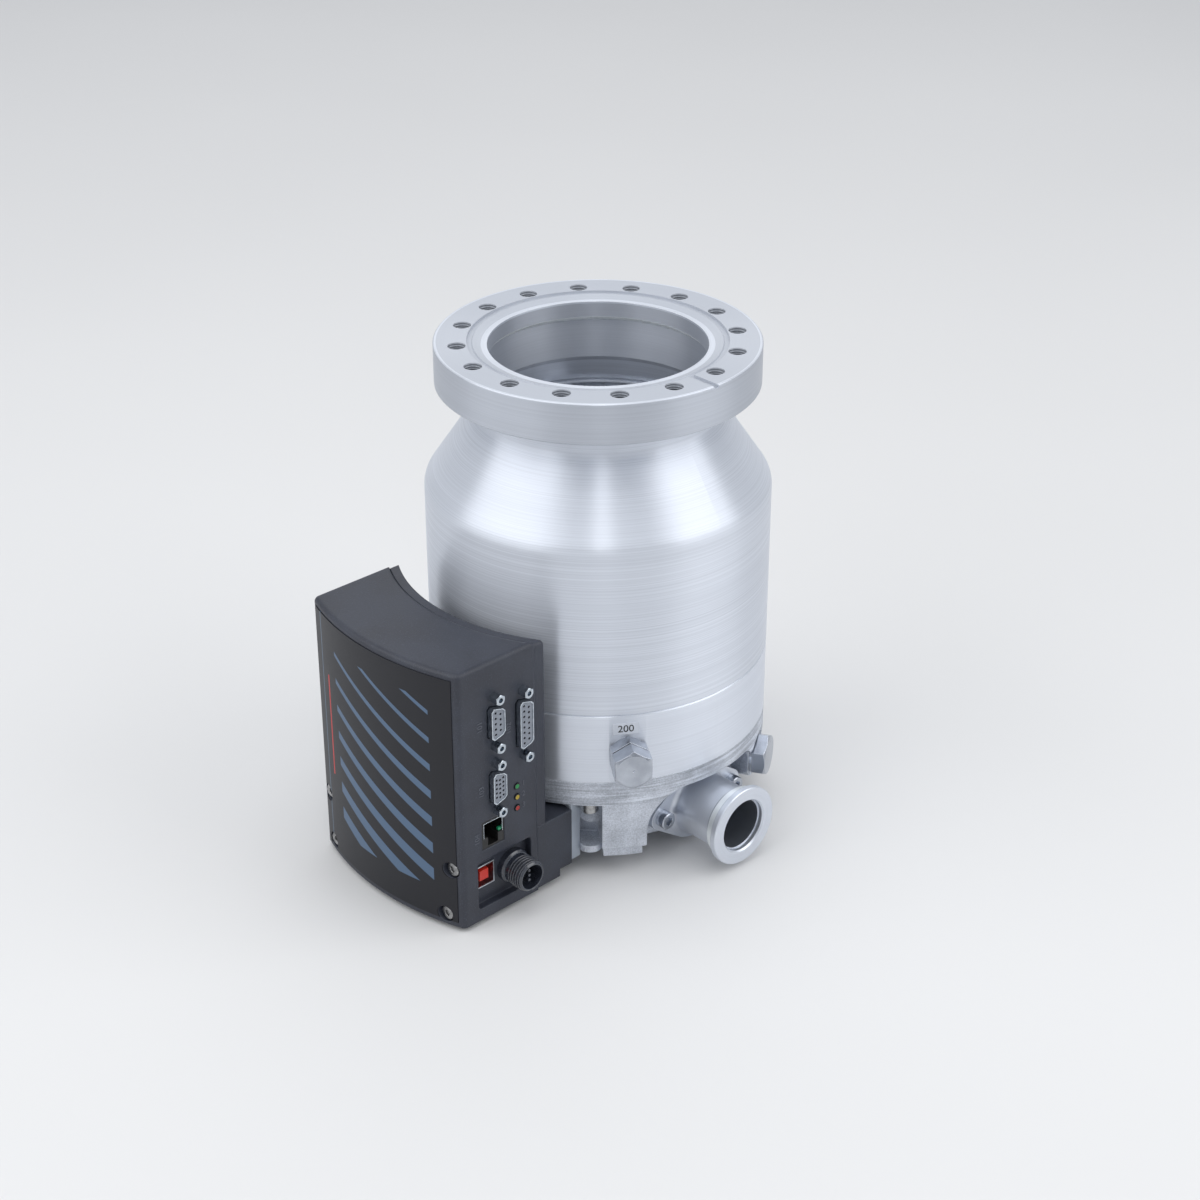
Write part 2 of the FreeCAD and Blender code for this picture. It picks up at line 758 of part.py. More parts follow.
def make_purge_plug():
    x0 = purge_face_r + purge_seal_t
    plug = hex_head(purge_head_af, x0, x0 + purge_head_t, z_purge, 0.0, 1.0)
    return turned(plug.fuse(rod(purge_hole_r, x0 - purge_shank, x0, z_purge)), purge_deg)


# Bearing star, its cap and the pocket ring above it
def z_arm_top():
    return z_star_top + arm_rise


def make_star():
    top_r = inner_cone_r(z_star_top) - 0.7
    ring = lathe([
        (star_in_r, z_star_foot), (pack_r, z_star_foot), (pack_r, z_star_seat),
        (top_r, z_star_seat), (top_r, z_star_top - 0.5), (top_r - 0.5, z_star_top), (star_in_r, z_star_top)])
    low = z_star_seat
    arm = prism_x([
        (-arm_half_w, low), (arm_half_w, low), (arm_half_w, z_arm_top() - arm_bevel),
        (arm_half_w - arm_bevel, z_arm_top()), (-arm_half_w + arm_bevel, z_arm_top()),
        (-arm_half_w, z_arm_top() - arm_bevel)], 0, arm_end_r)
    z_hub_foot = z_rotor_top + 1.5
    z_pin_foot = z_hub_foot - pin_len
    hub = lathe([
        (0, z_pin_foot), (pin_r, z_pin_foot), (pin_r, z_hub_foot), (hub_r, z_hub_foot),
        (hub_r, z_arm_top() - 1), (hub_r - 1, z_arm_top()), (0, z_arm_top())])
    body = fused(ring, around(arm, arm_count, arm_first_deg) + [hub])
    z_shoulder = touchdown_top()
    bore = lathe([
        (0, z_pin_foot - 1), (pin_bore_r, z_pin_foot - 1), (pin_bore_r, z_shoulder),
        (stub_r + 1.2, z_shoulder), (stub_r + 1.2, z_shoulder + 4), (0, z_shoulder + 4)])
    cap_seat = disc(star_cap_r, z_arm_top() + 1, z_arm_top() - 0.6)
    return cut_all(body, [bore, cap_seat])


def touchdown_top():
    return z_rotor_top + 1.5 - pin_len + touchdown_h + 4.0


def make_star_cap():
    low = z_arm_top() - 0.6
    return lathe([
        (0, low), (star_cap_r - fit, low), (star_cap_r - fit, low + star_cap_t - 1),
        (star_cap_r - 1.2, low + star_cap_t), (0, low + star_cap_t)])


def make_pocket_ring():
    z_low = z_star_top
    z_top = z_star_top + pocket_ring_h
    gap = 0.3

    def outer(z):
        return inner_cone_r(z) - gap

    def inner(z):
        return outer(z) - pocket_ring_t

    ring = lathe([
        (inner(z_low), z_low), (outer(z_low) - 1.2, z_low), (outer(z_low + 1), z_low + 1),
        (outer(z_top), z_top), (inner(z_top) + 0.8, z_top), (inner(z_top - 1), z_top - 1)])
    z0 = z_low + pocket_margin
    z1 = z_top - pocket_margin
    pocket = lathe([
        (inner(z0) - 1, z0), (inner(z0) + pocket_depth, z0),
        (inner(z1) + pocket_depth, z1), (inner(z1) - 1, z1)], pocket_deg)
    return cut_all(ring, around(pocket, pocket_count))


# Magnet rings around the pin and in the rotor
def magnet_rings(r_in, r_out):
    z_top = z_rotor_top - 2.0
    rings = []
    for i in range(magnet_count):
        rings.append(tube(r_out, r_in, z_top - i * magnet_h, z_top - (i + 1) * magnet_h))
    return rings


# Stages of the rotor and stator, as levels from the top of the rotor
def stage_levels():
    rotor_mid = []
    stator_mid = []
    z = z_rotor_top
    for i, h in enumerate(rotor_blade_h):
        rotor_mid.append(z - h / 2)
        z -= h + stage_gap
        if i < len(stator_blade_h):
            stator_mid.append(z - stator_blade_h[i] / 2)
            z -= stator_blade_h[i] + stage_gap
    return rotor_mid, stator_mid, z


rotor_mid, stator_mid, z_drag_top = stage_levels()
z_hub_end = z_drag_top + stage_gap
z_web_top = z_hub_end - web_gap
z_web_low = z_web_top - web_t


def hub_radius(z):
    share = (z_rotor_top - z) / (z_rotor_top - z_hub_end)
    return hub_top_r + (hub_bottom_r - hub_top_r) * share


def make_rotor():
    z_seat = z_rotor_top - magnet_bore_depth
    z_bell = z_rotor_top - bell_top_depth
    web_r = drag_r - drag_wall
    hub = lathe([
        (magnet_bore_r, z_rotor_top), (hub_top_r - 1, z_rotor_top), (hub_top_r, z_rotor_top - 1),
        (hub_bottom_r, z_hub_end), (hub_bottom_r, z_web_top), (web_r, z_web_top), (web_r, z_web_low),
        (bell_r, z_web_low), (bell_r, z_bell - 2), (bell_r - 2, z_bell), (shaft_bore_r, z_bell),
        (shaft_bore_r, z_seat), (magnet_bore_r, z_seat)])
    blades = []
    for mid, h, count, lean in zip(rotor_mid, rotor_blade_h, rotor_blade_count, rotor_lean_deg):
        root = hub_radius(mid + h / 2) - 1.5
        one = blade(root, blade_tip_r, h, rotor_root_t, rotor_tip_t, lean, mid)
        blades += around(one, count)
    return fused(hub, blades)


def make_stator_disc(i):
    mid = stator_mid[i]
    h = stator_blade_h[i]
    count = stator_blade_count[i]
    ring_r = hub_radius(mid - h / 2) + running_gap + 0.4
    half = stator_rim_t / 2
    rim = tube(pack_r, spacer_in_r - 1.0, mid + half, mid - half)
    inner = tube(ring_r + 1.4, ring_r, mid + h / 2, mid - h / 2)
    one = blade(ring_r + 0.7, spacer_in_r - 0.5, h, stator_blade_t, stator_blade_t, -rotor_lean_deg[i], mid)
    both = fused(rim, [inner] + around(one, count, 180.0 / count))
    gap = stator_split / 2
    slit = box(-body_r, body_r, -gap, gap, mid - h, mid + h)
    return both.cut(slit)


def make_spacer(i):
    top = z_star_foot if i == 0 else stator_mid[i - 1] - stator_rim_t / 2
    low = stator_mid[i] + stator_rim_t / 2 if i < len(stator_mid) else z_drag_top
    return tube(pack_r, spacer_in_r, top, low)


def make_drag_cylinder():
    z_top = z_web_top + 2.0
    return tube(drag_r, drag_r - drag_wall, z_top, z_top - drag_len)


def make_drag_stator():
    in_r = drag_r + drag_gap
    body = lathe([
        (in_r, z_ring), (ring_bore_r - fit, z_ring), (ring_bore_r - fit, z_drag_top - 7),
        (pack_r, z_drag_top - 7), (pack_r, z_drag_top), (in_r, z_drag_top)])
    step_h = (z_drag_top - z_ring) / groove_steps
    step_deg = math.degrees(step_h * math.tan(math.radians(groove_lean_deg)) / in_r)
    cuts = []
    for k in range(groove_steps):
        mid = z_drag_top - (k + 0.5) * step_h
        one = blade(in_r - 3, in_r + groove_depth, step_h + 0.02, groove_w, groove_w, groove_lean_deg, mid)
        cuts += around(one, groove_count, -k * step_deg)
    return cut_all(body, cuts)


# Shaft, motor and lower bearing
z_bearing_top = z_ring - bearing_below_ring_foot
z_bearing_low = z_bearing_top - bearing_h
z_motor_low = z_ring + motor_above_ring_foot
z_motor_top = z_motor_low + magnet_sleeve_h


def make_shaft():
    z_seat = z_rotor_top - magnet_bore_depth
    z_bell = z_rotor_top - bell_top_depth
    z_nut_end = z_bearing_low - nut_h - 1
    z_stub_top = touchdown_top() + 1.5
    neck = bearing_in_r + 1.5
    return lathe([
        (0, z_nut_end), (nut_bore_r, z_nut_end), (nut_bore_r, z_bearing_low), (bearing_in_r, z_bearing_low),
        (bearing_in_r, z_bearing_top), (neck, z_bearing_top), (neck, z_motor_low - 8),
        (shaft_r, z_motor_low - 6), (shaft_r, z_bell - shaft_flange_t), (shaft_flange_r, z_bell - shaft_flange_t),
        (shaft_flange_r, z_bell), (shaft_bore_r, z_bell), (shaft_bore_r, z_seat), (stub_r, z_seat),
        (stub_r, z_stub_top), (0, z_stub_top)])


def make_motor_core():
    body = tube(core_r, core_in_r, z_motor_top, z_motor_low)
    slot = box(slot_in_r, slot_out_r, -slot_w / 2, slot_w / 2, z_motor_low - 1, z_motor_top + 1)
    return cut_all(body, around(slot, slot_count))


def make_winding():
    ring_in = slot_in_r + winding_gap
    ring_out = slot_out_r - winding_gap
    rings = []
    for low in (z_motor_top, z_motor_low - winding_end_h):
        end = low + winding_end_h
        rings.append(lathe([
            (ring_in, low), (ring_out, low), (ring_out + 1.5, low + winding_end_h / 2),
            (ring_out, end), (ring_in, end), (ring_in - 0.8, low + winding_end_h / 2)]))
    bar = box(ring_in, ring_out, -slot_w / 2 + winding_gap, slot_w / 2 - winding_gap, z_motor_low - 1, z_motor_top + 1)
    return fused(rings[0], [rings[1]] + around(bar, slot_count))


def make_motor_tube():
    out_r = core_r + tube_wall
    return lathe([
        (core_r, z_ring), (tube_flange_r, z_ring), (tube_flange_r, z_ring + tube_flange_t),
        (out_r, z_ring + tube_flange_t), (out_r, z_ring + tube_len - 1), (out_r - 1, z_ring + tube_len),
        (core_r, z_ring + tube_len)])


def race_cutter():
    mid = (z_bearing_top + z_bearing_low) / 2
    return Part.makeTorus(bearing_pitch_r, ball_r + ball_gap, V(0, 0, mid))


def make_bearing_outer():
    return tube(bearing_out_r, outer_land_r, z_bearing_top, z_bearing_low).cut(race_cutter())


def make_bearing_inner():
    return tube(inner_land_r, bearing_in_r, z_bearing_top, z_bearing_low).cut(race_cutter())


def make_balls():
    mid = (z_bearing_top + z_bearing_low) / 2
    return around(Part.makeSphere(ball_r, V(bearing_pitch_r, 0, mid)), ball_count)


def make_cage():
    mid = (z_bearing_top + z_bearing_low) / 2
    ring = tube(bearing_pitch_r + cage_half_t, bearing_pitch_r - cage_half_t, mid + cage_h / 2, mid - cage_h / 2)
    pocket = rod(ball_r + 0.06, bearing_pitch_r - 2, bearing_pitch_r + 2, mid)
    return cut_all(ring, around(pocket, ball_count))


def make_damper():
    top = z_bearing_top + (damper_h - bearing_h) / 2
    return lathe([
        (bearing_out_r, top), (bearing_out_r, z_bearing_low), (bearing_out_r - 1, z_bearing_low),
        (bearing_out_r - 1, z_bearing_low - 1), (damper_r, z_bearing_low - 1), (damper_r, top)])


def make_oil_nut():
    low = z_bearing_low - nut_h
    return lathe([(nut_bore_r, low), (nut_bottom_r, low), (nut_top_r, z_bearing_low - 1),
                  (nut_top_r, z_bearing_low), (nut_bore_r, z_bearing_low)])


def make_wick():
    top = z_bearing_low - 1 - damper_lip_t
    return tube(wick_r - fit, wick_bore_r, top, z_pad + cover_t)


# Controller
z_ctrl_low = z_band - ctrl_below_band
z_ctrl_top = z_ctrl_low + ctrl_h
z_foot_top = z_band - foot_gap
z_foot_low = z_ctrl_low + foot_up
bracket_w0 = foot_back_w - bracket_t


def ring_slab(r_out, r_in, half_w, z_top, z_low):
    """Part of a ring on the -Y side, cut to a width."""
    ring = tube(r_out, r_in, z_top, z_low)
    return ring.common(box(-half_w, half_w, -r_out - 1, 0, z_low - 1, z_top + 1))


def front_w(x):
    return math.sqrt(ctrl_front_r ** 2 - x ** 2)


def front_screw_places():
    places = []
    for x, rise in (screw_high, screw_low):
        places += [(x, z_ctrl_low + rise), (-x, z_ctrl_low + rise)]
    return places


def rod_y(r, x, z, w0, w1):
    """Cylinder towards -Y from distance w0 to w1."""
    return Part.makeCylinder(r, w1 - w0, V(x, -w0, z), V(0, -1, 0))


def dsub_outline(kind, grow):
    """Outline (w, z) of the slanted socket shell, grown outwards."""
    half = kind["half_len"] + grow
    wide = dsub_shell_half_w + grow
    slope = 2 * wide * math.tan(math.radians(dsub_taper_deg))
    z = z_ctrl_low + kind["up"]
    c = dsub_corner
    return [
        (kind["w"] + wide - c, z + half), (kind["w"] + wide, z + half - c),
        (kind["w"] + wide, z - half + c), (kind["w"] + wide - c, z - half),
        (kind["w"] - wide + c, z - half + slope), (kind["w"] - wide, z - half + slope + c),
        (kind["w"] - wide, z + half - slope - c), (kind["w"] - wide + c, z + half - slope)]


def panel_y(w):
    """Place of a distance w from the back edge of the side panel."""
    return -side_back_w - w


def side_prism(points, x0, x1):
    """Straight solid along +X from outline points (w, z) on the side panel."""
    return prism_x([(panel_y(w), z) for w, z in points], x0, x1)


def side_box(w0, w1, up0, up1, x0, x1):
    return box(x0, x1, panel_y(w1), panel_y(w0), z_ctrl_low + up0, z_ctrl_low + up1)


side_in = ctrl_half_w - ctrl_wall
side_back_w = math.sqrt(ctrl_back_r ** 2 - ctrl_half_w ** 2)
recess_x = ctrl_half_w - side_recess_depth
sockets = [nine_way, fifteen_way, dense_way]


def make_ctrl_cover():
    body = ring_slab(ctrl_front_r, ctrl_back_r, ctrl_half_w, z_ctrl_top, z_ctrl_low)
    front = [e for e in body.Edges if e.BoundBox.ZLength > ctrl_h - 1 and e.BoundBox.YMax < -ctrl_back_r * 1.1]
    body = body.makeFillet(ctrl_edge_r, front)
    top = [e for e in body.Edges if e.BoundBox.ZMin > z_ctrl_top - 0.01]
    body = body.makeFillet(ctrl_top_edge_r, top)
    low = [e for e in body.Edges if e.BoundBox.ZMax < z_ctrl_low + 0.01 and e.BoundBox.YMin < -ctrl_back_r]
    body = body.makeChamfer(0.8, low)

    cavity = ring_slab(ctrl_front_r - ctrl_wall, ctrl_back_r - 1, side_in, z_ctrl_top - ctrl_wall, z_ctrl_low + ctrl_wall)
    w0, w1 = side_recess_w
    up0, up1 = side_recess_up
    keep = side_box(-cut_past, w1 + ctrl_wall, up0 - ctrl_wall, up1 + ctrl_wall, recess_x - ctrl_wall, ctrl_half_w)
    cavity = cavity.cut(keep)
    for x, z in front_screw_places():
        seat_w = front_w(x) - front_bore_depth
        cavity = cavity.cut(rod_y(front_head_r + 1.2, x, z, seat_w - front_shank_len, seat_w + 2))
    recess = side_box(w0, w1, up0, up1, recess_x, ctrl_half_w + 1)
    corners = [e for e in recess.Edges if e.BoundBox.XLength > side_recess_depth]
    recess = recess.makeFillet(side_recess_corner, corners)

    tools = [cavity, recess]
    for x, z in front_screw_places():
        seat_w = front_w(x) - front_bore_depth
        tools.append(rod_y(front_bore_r, x, z, seat_w, ctrl_front_r + 5))
        tools.append(rod_y(front_shank_r, x, z, seat_w - front_shank_len - 0.2, seat_w + 1))
    for kind in sockets:
        tools.append(side_prism(dsub_outline(kind, dsub_clear), side_in - 1, ctrl_half_w + 1))
        for side in (-1, 1):
            z = z_ctrl_low + kind["up"] + side * kind["pitch"] / 2
            tools.append(rod(jack_shank_r + fit, side_in - 1, ctrl_half_w + 1, z, panel_y(kind["w"])))
    for rise in light_up:
        tools.append(rod(light_r + fit, side_in - 1, ctrl_half_w + 1, z_ctrl_low + rise, panel_y(light_w)))
    gap = 0.15
    tools.append(side_box(net_w - net_half_w - gap, net_w + net_half_w + gap, net_up - net_half_h - gap,
                          net_up + net_half_h + gap, side_in - 1, ctrl_half_w + 1))
    tools.append(side_box(usb_w - usb_half_w - gap, usb_w + usb_half_w + gap, usb_up - usb_half_h - gap,
                          usb_up + usb_half_h + gap, recess_x - usb_len, recess_x + 1))
    tools.append(rod(power_r + gap, recess_x - ctrl_wall - 1, recess_x + 1, z_ctrl_low + power_up, panel_y(power_w)))
    return cut_all(body, tools)


def make_back_plate():
    top = z_ctrl_top - back_plate_drop
    plate = ring_slab(ctrl_back_r, ctrl_back_r - back_plate_t, ctrl_half_w, top, z_foot_top)
    corners = [e for e in plate.Edges if e.BoundBox.ZMin > top - 0.01 and e.BoundBox.YLength > 2
               and e.BoundBox.XLength < 1]
    return plate.makeFillet(2.0, corners)


def make_ctrl_foot():
    z_step = z_foot_low + foot_step_up
    outer = box(-ctrl_half_w, ctrl_half_w, -ctrl_back_r - 1, -foot_back_w, z_foot_low, z_foot_top)
    outer = outer.cut(box(-ctrl_half_w - 1, ctrl_half_w + 1, -foot_step_w, 0, z_foot_low - 1, z_step))
    inner = box(-side_in, side_in, -ctrl_back_r - 2, -foot_step_w - ctrl_wall, z_foot_low + ctrl_wall, z_foot_top - ctrl_wall)
    reach = disc(ctrl_back_r, z_foot_top + 1, z_foot_low - 1)
    return outer.common(reach).cut(inner)


def make_bracket():
    top = z_band - bracket_top_gap
    low = top - bracket_h
    plate = box(-bracket_half_w, bracket_half_w, -foot_back_w, -bracket_w0, low, top)
    plate = plate.common(disc(body_r - 0.3, top + 1, low - 1))
    ends = [e for e in plate.Edges if e.BoundBox.ZMax < low + 0.01 and e.BoundBox.XLength < 1
            and e.BoundBox.YLength > 1]
    return plate.makeChamfer(2.5, ends)


def make_front_overlay():
    half = ctrl_half_w - overlay_margin
    sheet = ring_slab(ctrl_front_r + overlay_t, ctrl_front_r, half,
                      z_ctrl_top - overlay_margin, z_ctrl_low + overlay_margin)
    holes = [rod_y(front_bore_r, x, z, ctrl_back_r, ctrl_front_r + 5) for x, z in front_screw_places()]
    return cut_all(sheet, holes)


def make_front_screws():
    screws = []
    for x, z in front_screw_places():
        seat_w = front_w(x) - front_bore_depth
        head = rod_y(front_head_r, x, z, seat_w, seat_w + front_head_t)
        rim = [e for e in head.Edges if e.BoundBox.YMax < -seat_w - front_head_t + 0.01]
        head = head.makeFillet(0.7, rim)
        socket = rod_y(1.5, x, z, seat_w + 0.6, seat_w + 5)
        screws.append(head.fuse(rod_y(front_shank_r, x, z, seat_w - front_shank_len, seat_w)).cut(socket))
    return screws


def make_dsub_shells():
    shells = []
    x_flange = side_in - dsub_flange_t
    for kind in sockets:
        z = z_ctrl_low + kind["up"]
        reach = kind["pitch"] / 2 + dsub_flange_past_screw
        y = panel_y(kind["w"])
        flange = box(x_flange, side_in, y - dsub_flange_half_w, y + dsub_flange_half_w, z - reach, z + reach)
        shell = side_prism(dsub_outline(kind, 0), side_in, ctrl_half_w + dsub_proud)
        hollow = side_prism(dsub_outline(kind, -dsub_shell_t), x_flange - 1, ctrl_half_w + dsub_proud + 1)
        holes = [rod(jack_shank_r + fit, x_flange - 1, side_in + 1, z + s * kind["pitch"] / 2, y)
                 for s in (-1, 1)]
        shells.append(cut_all(flange.fuse(shell), [hollow] + holes))
    return shells


def make_dsub_insulators():
    cores = []
    for kind in sockets:
        x_face = ctrl_half_w + dsub_proud - 0.4
        core = side_prism(dsub_outline(kind, -dsub_shell_t), side_in - dsub_flange_t - dsub_back, x_face)
        holes = []
        rows = kind["row_counts"]
        z_mid = z_ctrl_low + kind["up"]
        row_step = row_step_two if len(rows) == 2 else row_step_three
        for r, count in enumerate(rows):
            w = kind["w"] + row_step * ((len(rows) - 1) / 2 - r)
            shift = 0.5 * kind["pin"] * (r % 2) if count == rows[0] and r > 0 else 0.0
            for k in range(count):
                z = z_mid + (k - (count - 1) / 2) * kind["pin"] - shift / 2
                holes.append(rod(pin_hole_r, x_face - pin_hole_depth, x_face + 1, z, panel_y(w)))
        cores.append(cut_all(core, holes))
    return cores


def make_jack_screws():
    screws = []
    for kind in sockets:
        for side in (-1, 1):
            z = z_ctrl_low + kind["up"] + side * kind["pitch"] / 2
            y = panel_y(kind["w"])
            x1 = ctrl_half_w + jack_len
            head = hex_head(jack_af, ctrl_half_w, x1, z, y, 0.3)
            head = head.cut(rod(jack_hole_r, x1 - jack_hole_depth, x1 + 1, z, y))
            screws.append(head.fuse(rod(jack_shank_r, side_in - dsub_flange_t - 1, ctrl_half_w, z, y)))
    return screws


board_x = side_in - dsub_flange_t - dsub_back - board_t


def make_board():
    plate = side_box(board_back_w, board_front_w, board_foot_up, board_top_up, board_x, board_x + board_t)
    gap = 0.2
    notch = side_box(net_w - net_half_w - gap, net_w + net_half_w + gap, net_up - net_half_h - gap,
                     net_up + net_half_h + gap, board_x - 1, board_x + board_t + 1)
    return plate.cut(notch)


def make_lights():
    return [rod(light_r, board_x + board_t, ctrl_half_w + light_proud, z_ctrl_low + rise, panel_y(light_w))
            for rise in light_up]


def make_net_jack():
    x1 = ctrl_half_w - 0.3
    body = side_box(net_w - net_half_w, net_w + net_half_w, net_up - net_half_h, net_up + net_half_h,
                    x1 - net_len, x1)
    up1 = net_up + net_half_h - net_wall
    up0 = net_up - net_half_h + net_wall + net_latch_h
    main = side_box(net_w - net_half_w + net_wall, net_w + net_half_w - net_wall, up0, up1,
                    x1 - net_hole_depth, x1 + 1)
    latch = side_box(net_w - net_latch_half_w, net_w + net_latch_half_w, up0 - net_latch_h, up0 + 1,
                     x1 - net_hole_depth, x1 + 1)
    return cut_all(body, [main, latch])


def make_usb_socket():
    x1 = recess_x + usb_proud
    body = side_box(usb_w - usb_half_w, usb_w + usb_half_w, usb_up - usb_half_h, usb_up + usb_half_h,
                    x1 - usb_len, x1)
    hollow = side_box(usb_w - usb_half_w + usb_wall, usb_w + usb_half_w - usb_wall, usb_up - usb_half_h + usb_wall,
                      usb_up + usb_half_h - usb_wall, x1 - usb_hole_depth, x1 + 1)
    tongue = side_box(usb_w - usb_tongue_half, usb_w + usb_tongue_half, usb_up - usb_tongue_half,
                      usb_up + usb_tongue_half, x1 - usb_hole_depth - 0.5, x1 - 0.6)
    return body.cut(hollow).fuse(tongue)


def make_power_socket():
    y = panel_y(power_w)
    z = z_ctrl_low + power_up
    x1 = recess_x + power_proud
    body = along_x([
        (recess_x - power_behind, 0), (recess_x - power_behind, power_r), (recess_x, power_r),
        (recess_x, power_ring_r), (recess_x + power_ring_t - 0.8, power_ring_r),
        (recess_x + power_ring_t, power_ring_r - 0.8), (recess_x + power_ring_t, power_r),
        (x1 - 0.8, power_r), (x1, power_r - 0.8), (x1, 0)], z, y)
    hole = rod(power_shell_r, x1 - power_hole_depth, x1 + 1, z, y)
    body = body.cut(hole)
    pins = [rod(power_pin_r, x1 - power_hole_depth - 1, x1 - 2, z + s * power_pin_at_r, y) for s in (-1, 0, 1)]
    return fused(body, pins)


save("housing", make_housing())
save("lower_ring", make_lower_ring())
save("base_casting", make_base())
save("base_cover", make_cover())
save("cover_screws", *make_cover_screws())
save("clamp_screws", *make_clamp_screws())
save("rubber_feet", *make_feet())
save("foreline_port", make_port())
save("foreline_seal", along_x(port_seal_outline(0), z_port))
save("foreline_screws", *make_port_screws())
save("vent_adapter", make_vent_adapter())
save("vent_seal", make_vent_seal())
save("vent_plug", make_vent_plug())
save("purge_seal", make_purge_seal())
save("purge_plug", make_purge_plug())
save("bearing_star", make_star())
save("star_cap", make_star_cap())
save("pocket_ring", make_pocket_ring())
save("fixed_magnet_rings", *magnet_rings(pin_r, pin_r + magnet_wall))
save("spinning_magnet_rings", *magnet_rings(pin_r + magnet_wall + running_gap, magnet_bore_r))
save("touchdown_ring", tube(pin_bore_r, stub_r + touchdown_gap, touchdown_top(), touchdown_top() - touchdown_h))
save("rotor", make_rotor())
save("drag_cylinder", make_drag_cylinder())
save("shaft", make_shaft())
for i in range(len(stator_mid)):
    save("stator_disc_%d" % (i + 1), make_stator_disc(i))
for i in range(len(stator_mid) + 1):
    save("spacer_ring_%d" % (i + 1), make_spacer(i))
save("drag_stator", make_drag_stator())
save("motor_tube", make_motor_tube())
save("motor_core", make_motor_core())
save("motor_winding", make_winding())
save("motor_magnet", tube(magnet_sleeve_r, shaft_r, z_motor_top, z_motor_low))
save("bearing_outer_ring", make_bearing_outer())
save("bearing_inner_ring", make_bearing_inner())
save("bearing_balls", *make_balls())
save("bearing_cage", make_cage())
save("damper_ring", make_damper())
save("oil_nut", make_oil_nut())
save("wick_cartridge", make_wick())
save("controller_cover", make_ctrl_cover())
save("controller_back_plate", make_back_plate())
save("controller_foot", make_ctrl_foot())
save("controller_bracket", make_bracket())
save("front_overlay", make_front_overlay())
save("front_screws", *make_front_screws())
save("socket_shells", *make_dsub_shells())
save("socket_insulators", *make_dsub_insulators())
save("jack_screws", *make_jack_screws())
save("control_board", make_board())
save("status_lights", *make_lights())
save("network_jack", make_net_jack())
save("usb_socket", make_usb_socket())
save("power_socket", make_power_socket())
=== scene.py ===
import json
import math

import bmesh
import bpy
from mathutils import Matrix, Vector


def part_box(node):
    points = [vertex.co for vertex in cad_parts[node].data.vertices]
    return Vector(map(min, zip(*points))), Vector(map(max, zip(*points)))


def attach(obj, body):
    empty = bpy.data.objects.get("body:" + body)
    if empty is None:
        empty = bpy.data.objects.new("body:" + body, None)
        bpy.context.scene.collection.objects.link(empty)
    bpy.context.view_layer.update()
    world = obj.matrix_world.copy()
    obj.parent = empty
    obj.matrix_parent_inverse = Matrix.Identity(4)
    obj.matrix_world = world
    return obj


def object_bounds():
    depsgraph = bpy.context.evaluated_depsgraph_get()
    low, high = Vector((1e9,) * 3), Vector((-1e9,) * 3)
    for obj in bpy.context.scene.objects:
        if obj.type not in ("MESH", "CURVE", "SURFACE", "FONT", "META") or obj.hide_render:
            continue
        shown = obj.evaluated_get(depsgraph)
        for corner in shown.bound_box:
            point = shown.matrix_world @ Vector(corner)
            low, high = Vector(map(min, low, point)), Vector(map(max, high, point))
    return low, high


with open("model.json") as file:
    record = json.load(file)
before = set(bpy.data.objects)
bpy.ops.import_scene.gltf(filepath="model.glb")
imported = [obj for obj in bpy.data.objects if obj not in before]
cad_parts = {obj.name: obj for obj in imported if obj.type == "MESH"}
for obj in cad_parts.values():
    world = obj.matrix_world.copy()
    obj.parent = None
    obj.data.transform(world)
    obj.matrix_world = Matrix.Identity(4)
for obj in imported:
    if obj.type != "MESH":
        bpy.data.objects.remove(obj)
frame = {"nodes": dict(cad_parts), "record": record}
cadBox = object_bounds()
nodes = frame["nodes"]
mm = 0.001
print("frame loaded:", len(nodes), "nodes")


# Colours are given as they look on a screen, 0 to 255
def screen(red, green, blue):
    def linear(value):
        share = value / 255
        return share / 12.92 if share < 0.04045 else ((share + 0.055) / 1.055) ** 2.4
    return (linear(red), linear(green), linear(blue), 1)


def grey(value):
    return screen(value, value, value)


def silver(value):  # grey with the cool tint of bare aluminium
    return screen(value - 5, value, min(value + 9, 255))


class Wire:  # an output of a node that can be used in sums
    def __init__(self, tree, socket):
        self.tree = tree
        self.socket = socket

    def math(self, operation, *values):
        return self.tree.wire("ShaderNodeMath", {"operation": operation}, dict(enumerate(values)))

    def __add__(self, other):
        return self.math("ADD", self, other)

    def __radd__(self, other):
        return self.math("ADD", other, self)

    def __sub__(self, other):
        return self.math("SUBTRACT", self, other)

    def __rsub__(self, other):
        return self.math("SUBTRACT", other, self)

    def __mul__(self, other):
        return self.math("MULTIPLY", self, other)

    def __truediv__(self, other):
        return self.math("DIVIDE", self, other)

    def __pow__(self, other):
        return self.math("POWER", self, other)

    def clamp(self):
        return self.tree.wire("ShaderNodeClamp", {}, {0: self})

    def off(self, middle):  # distance from the middle, to either side
        return self.math("ABSOLUTE", self - middle)

    def offWhole(self):  # what is left over from the nearest whole number
        return self - self.math("ROUND", self)

    def step(self, low, high):  # 0 below low, 1 above high, smooth between
        settings = {"interpolation_type": "SMOOTHSTEP"}
        return self.tree.wire("ShaderNodeMapRange", settings, {0: self, 1: low, 2: high})

    def between(self, low, high, blur):  # 1 from low to high and 0 outside, with blurred ends
        return self.step(low, low + blur) * (1 - self.step(high, high + blur))


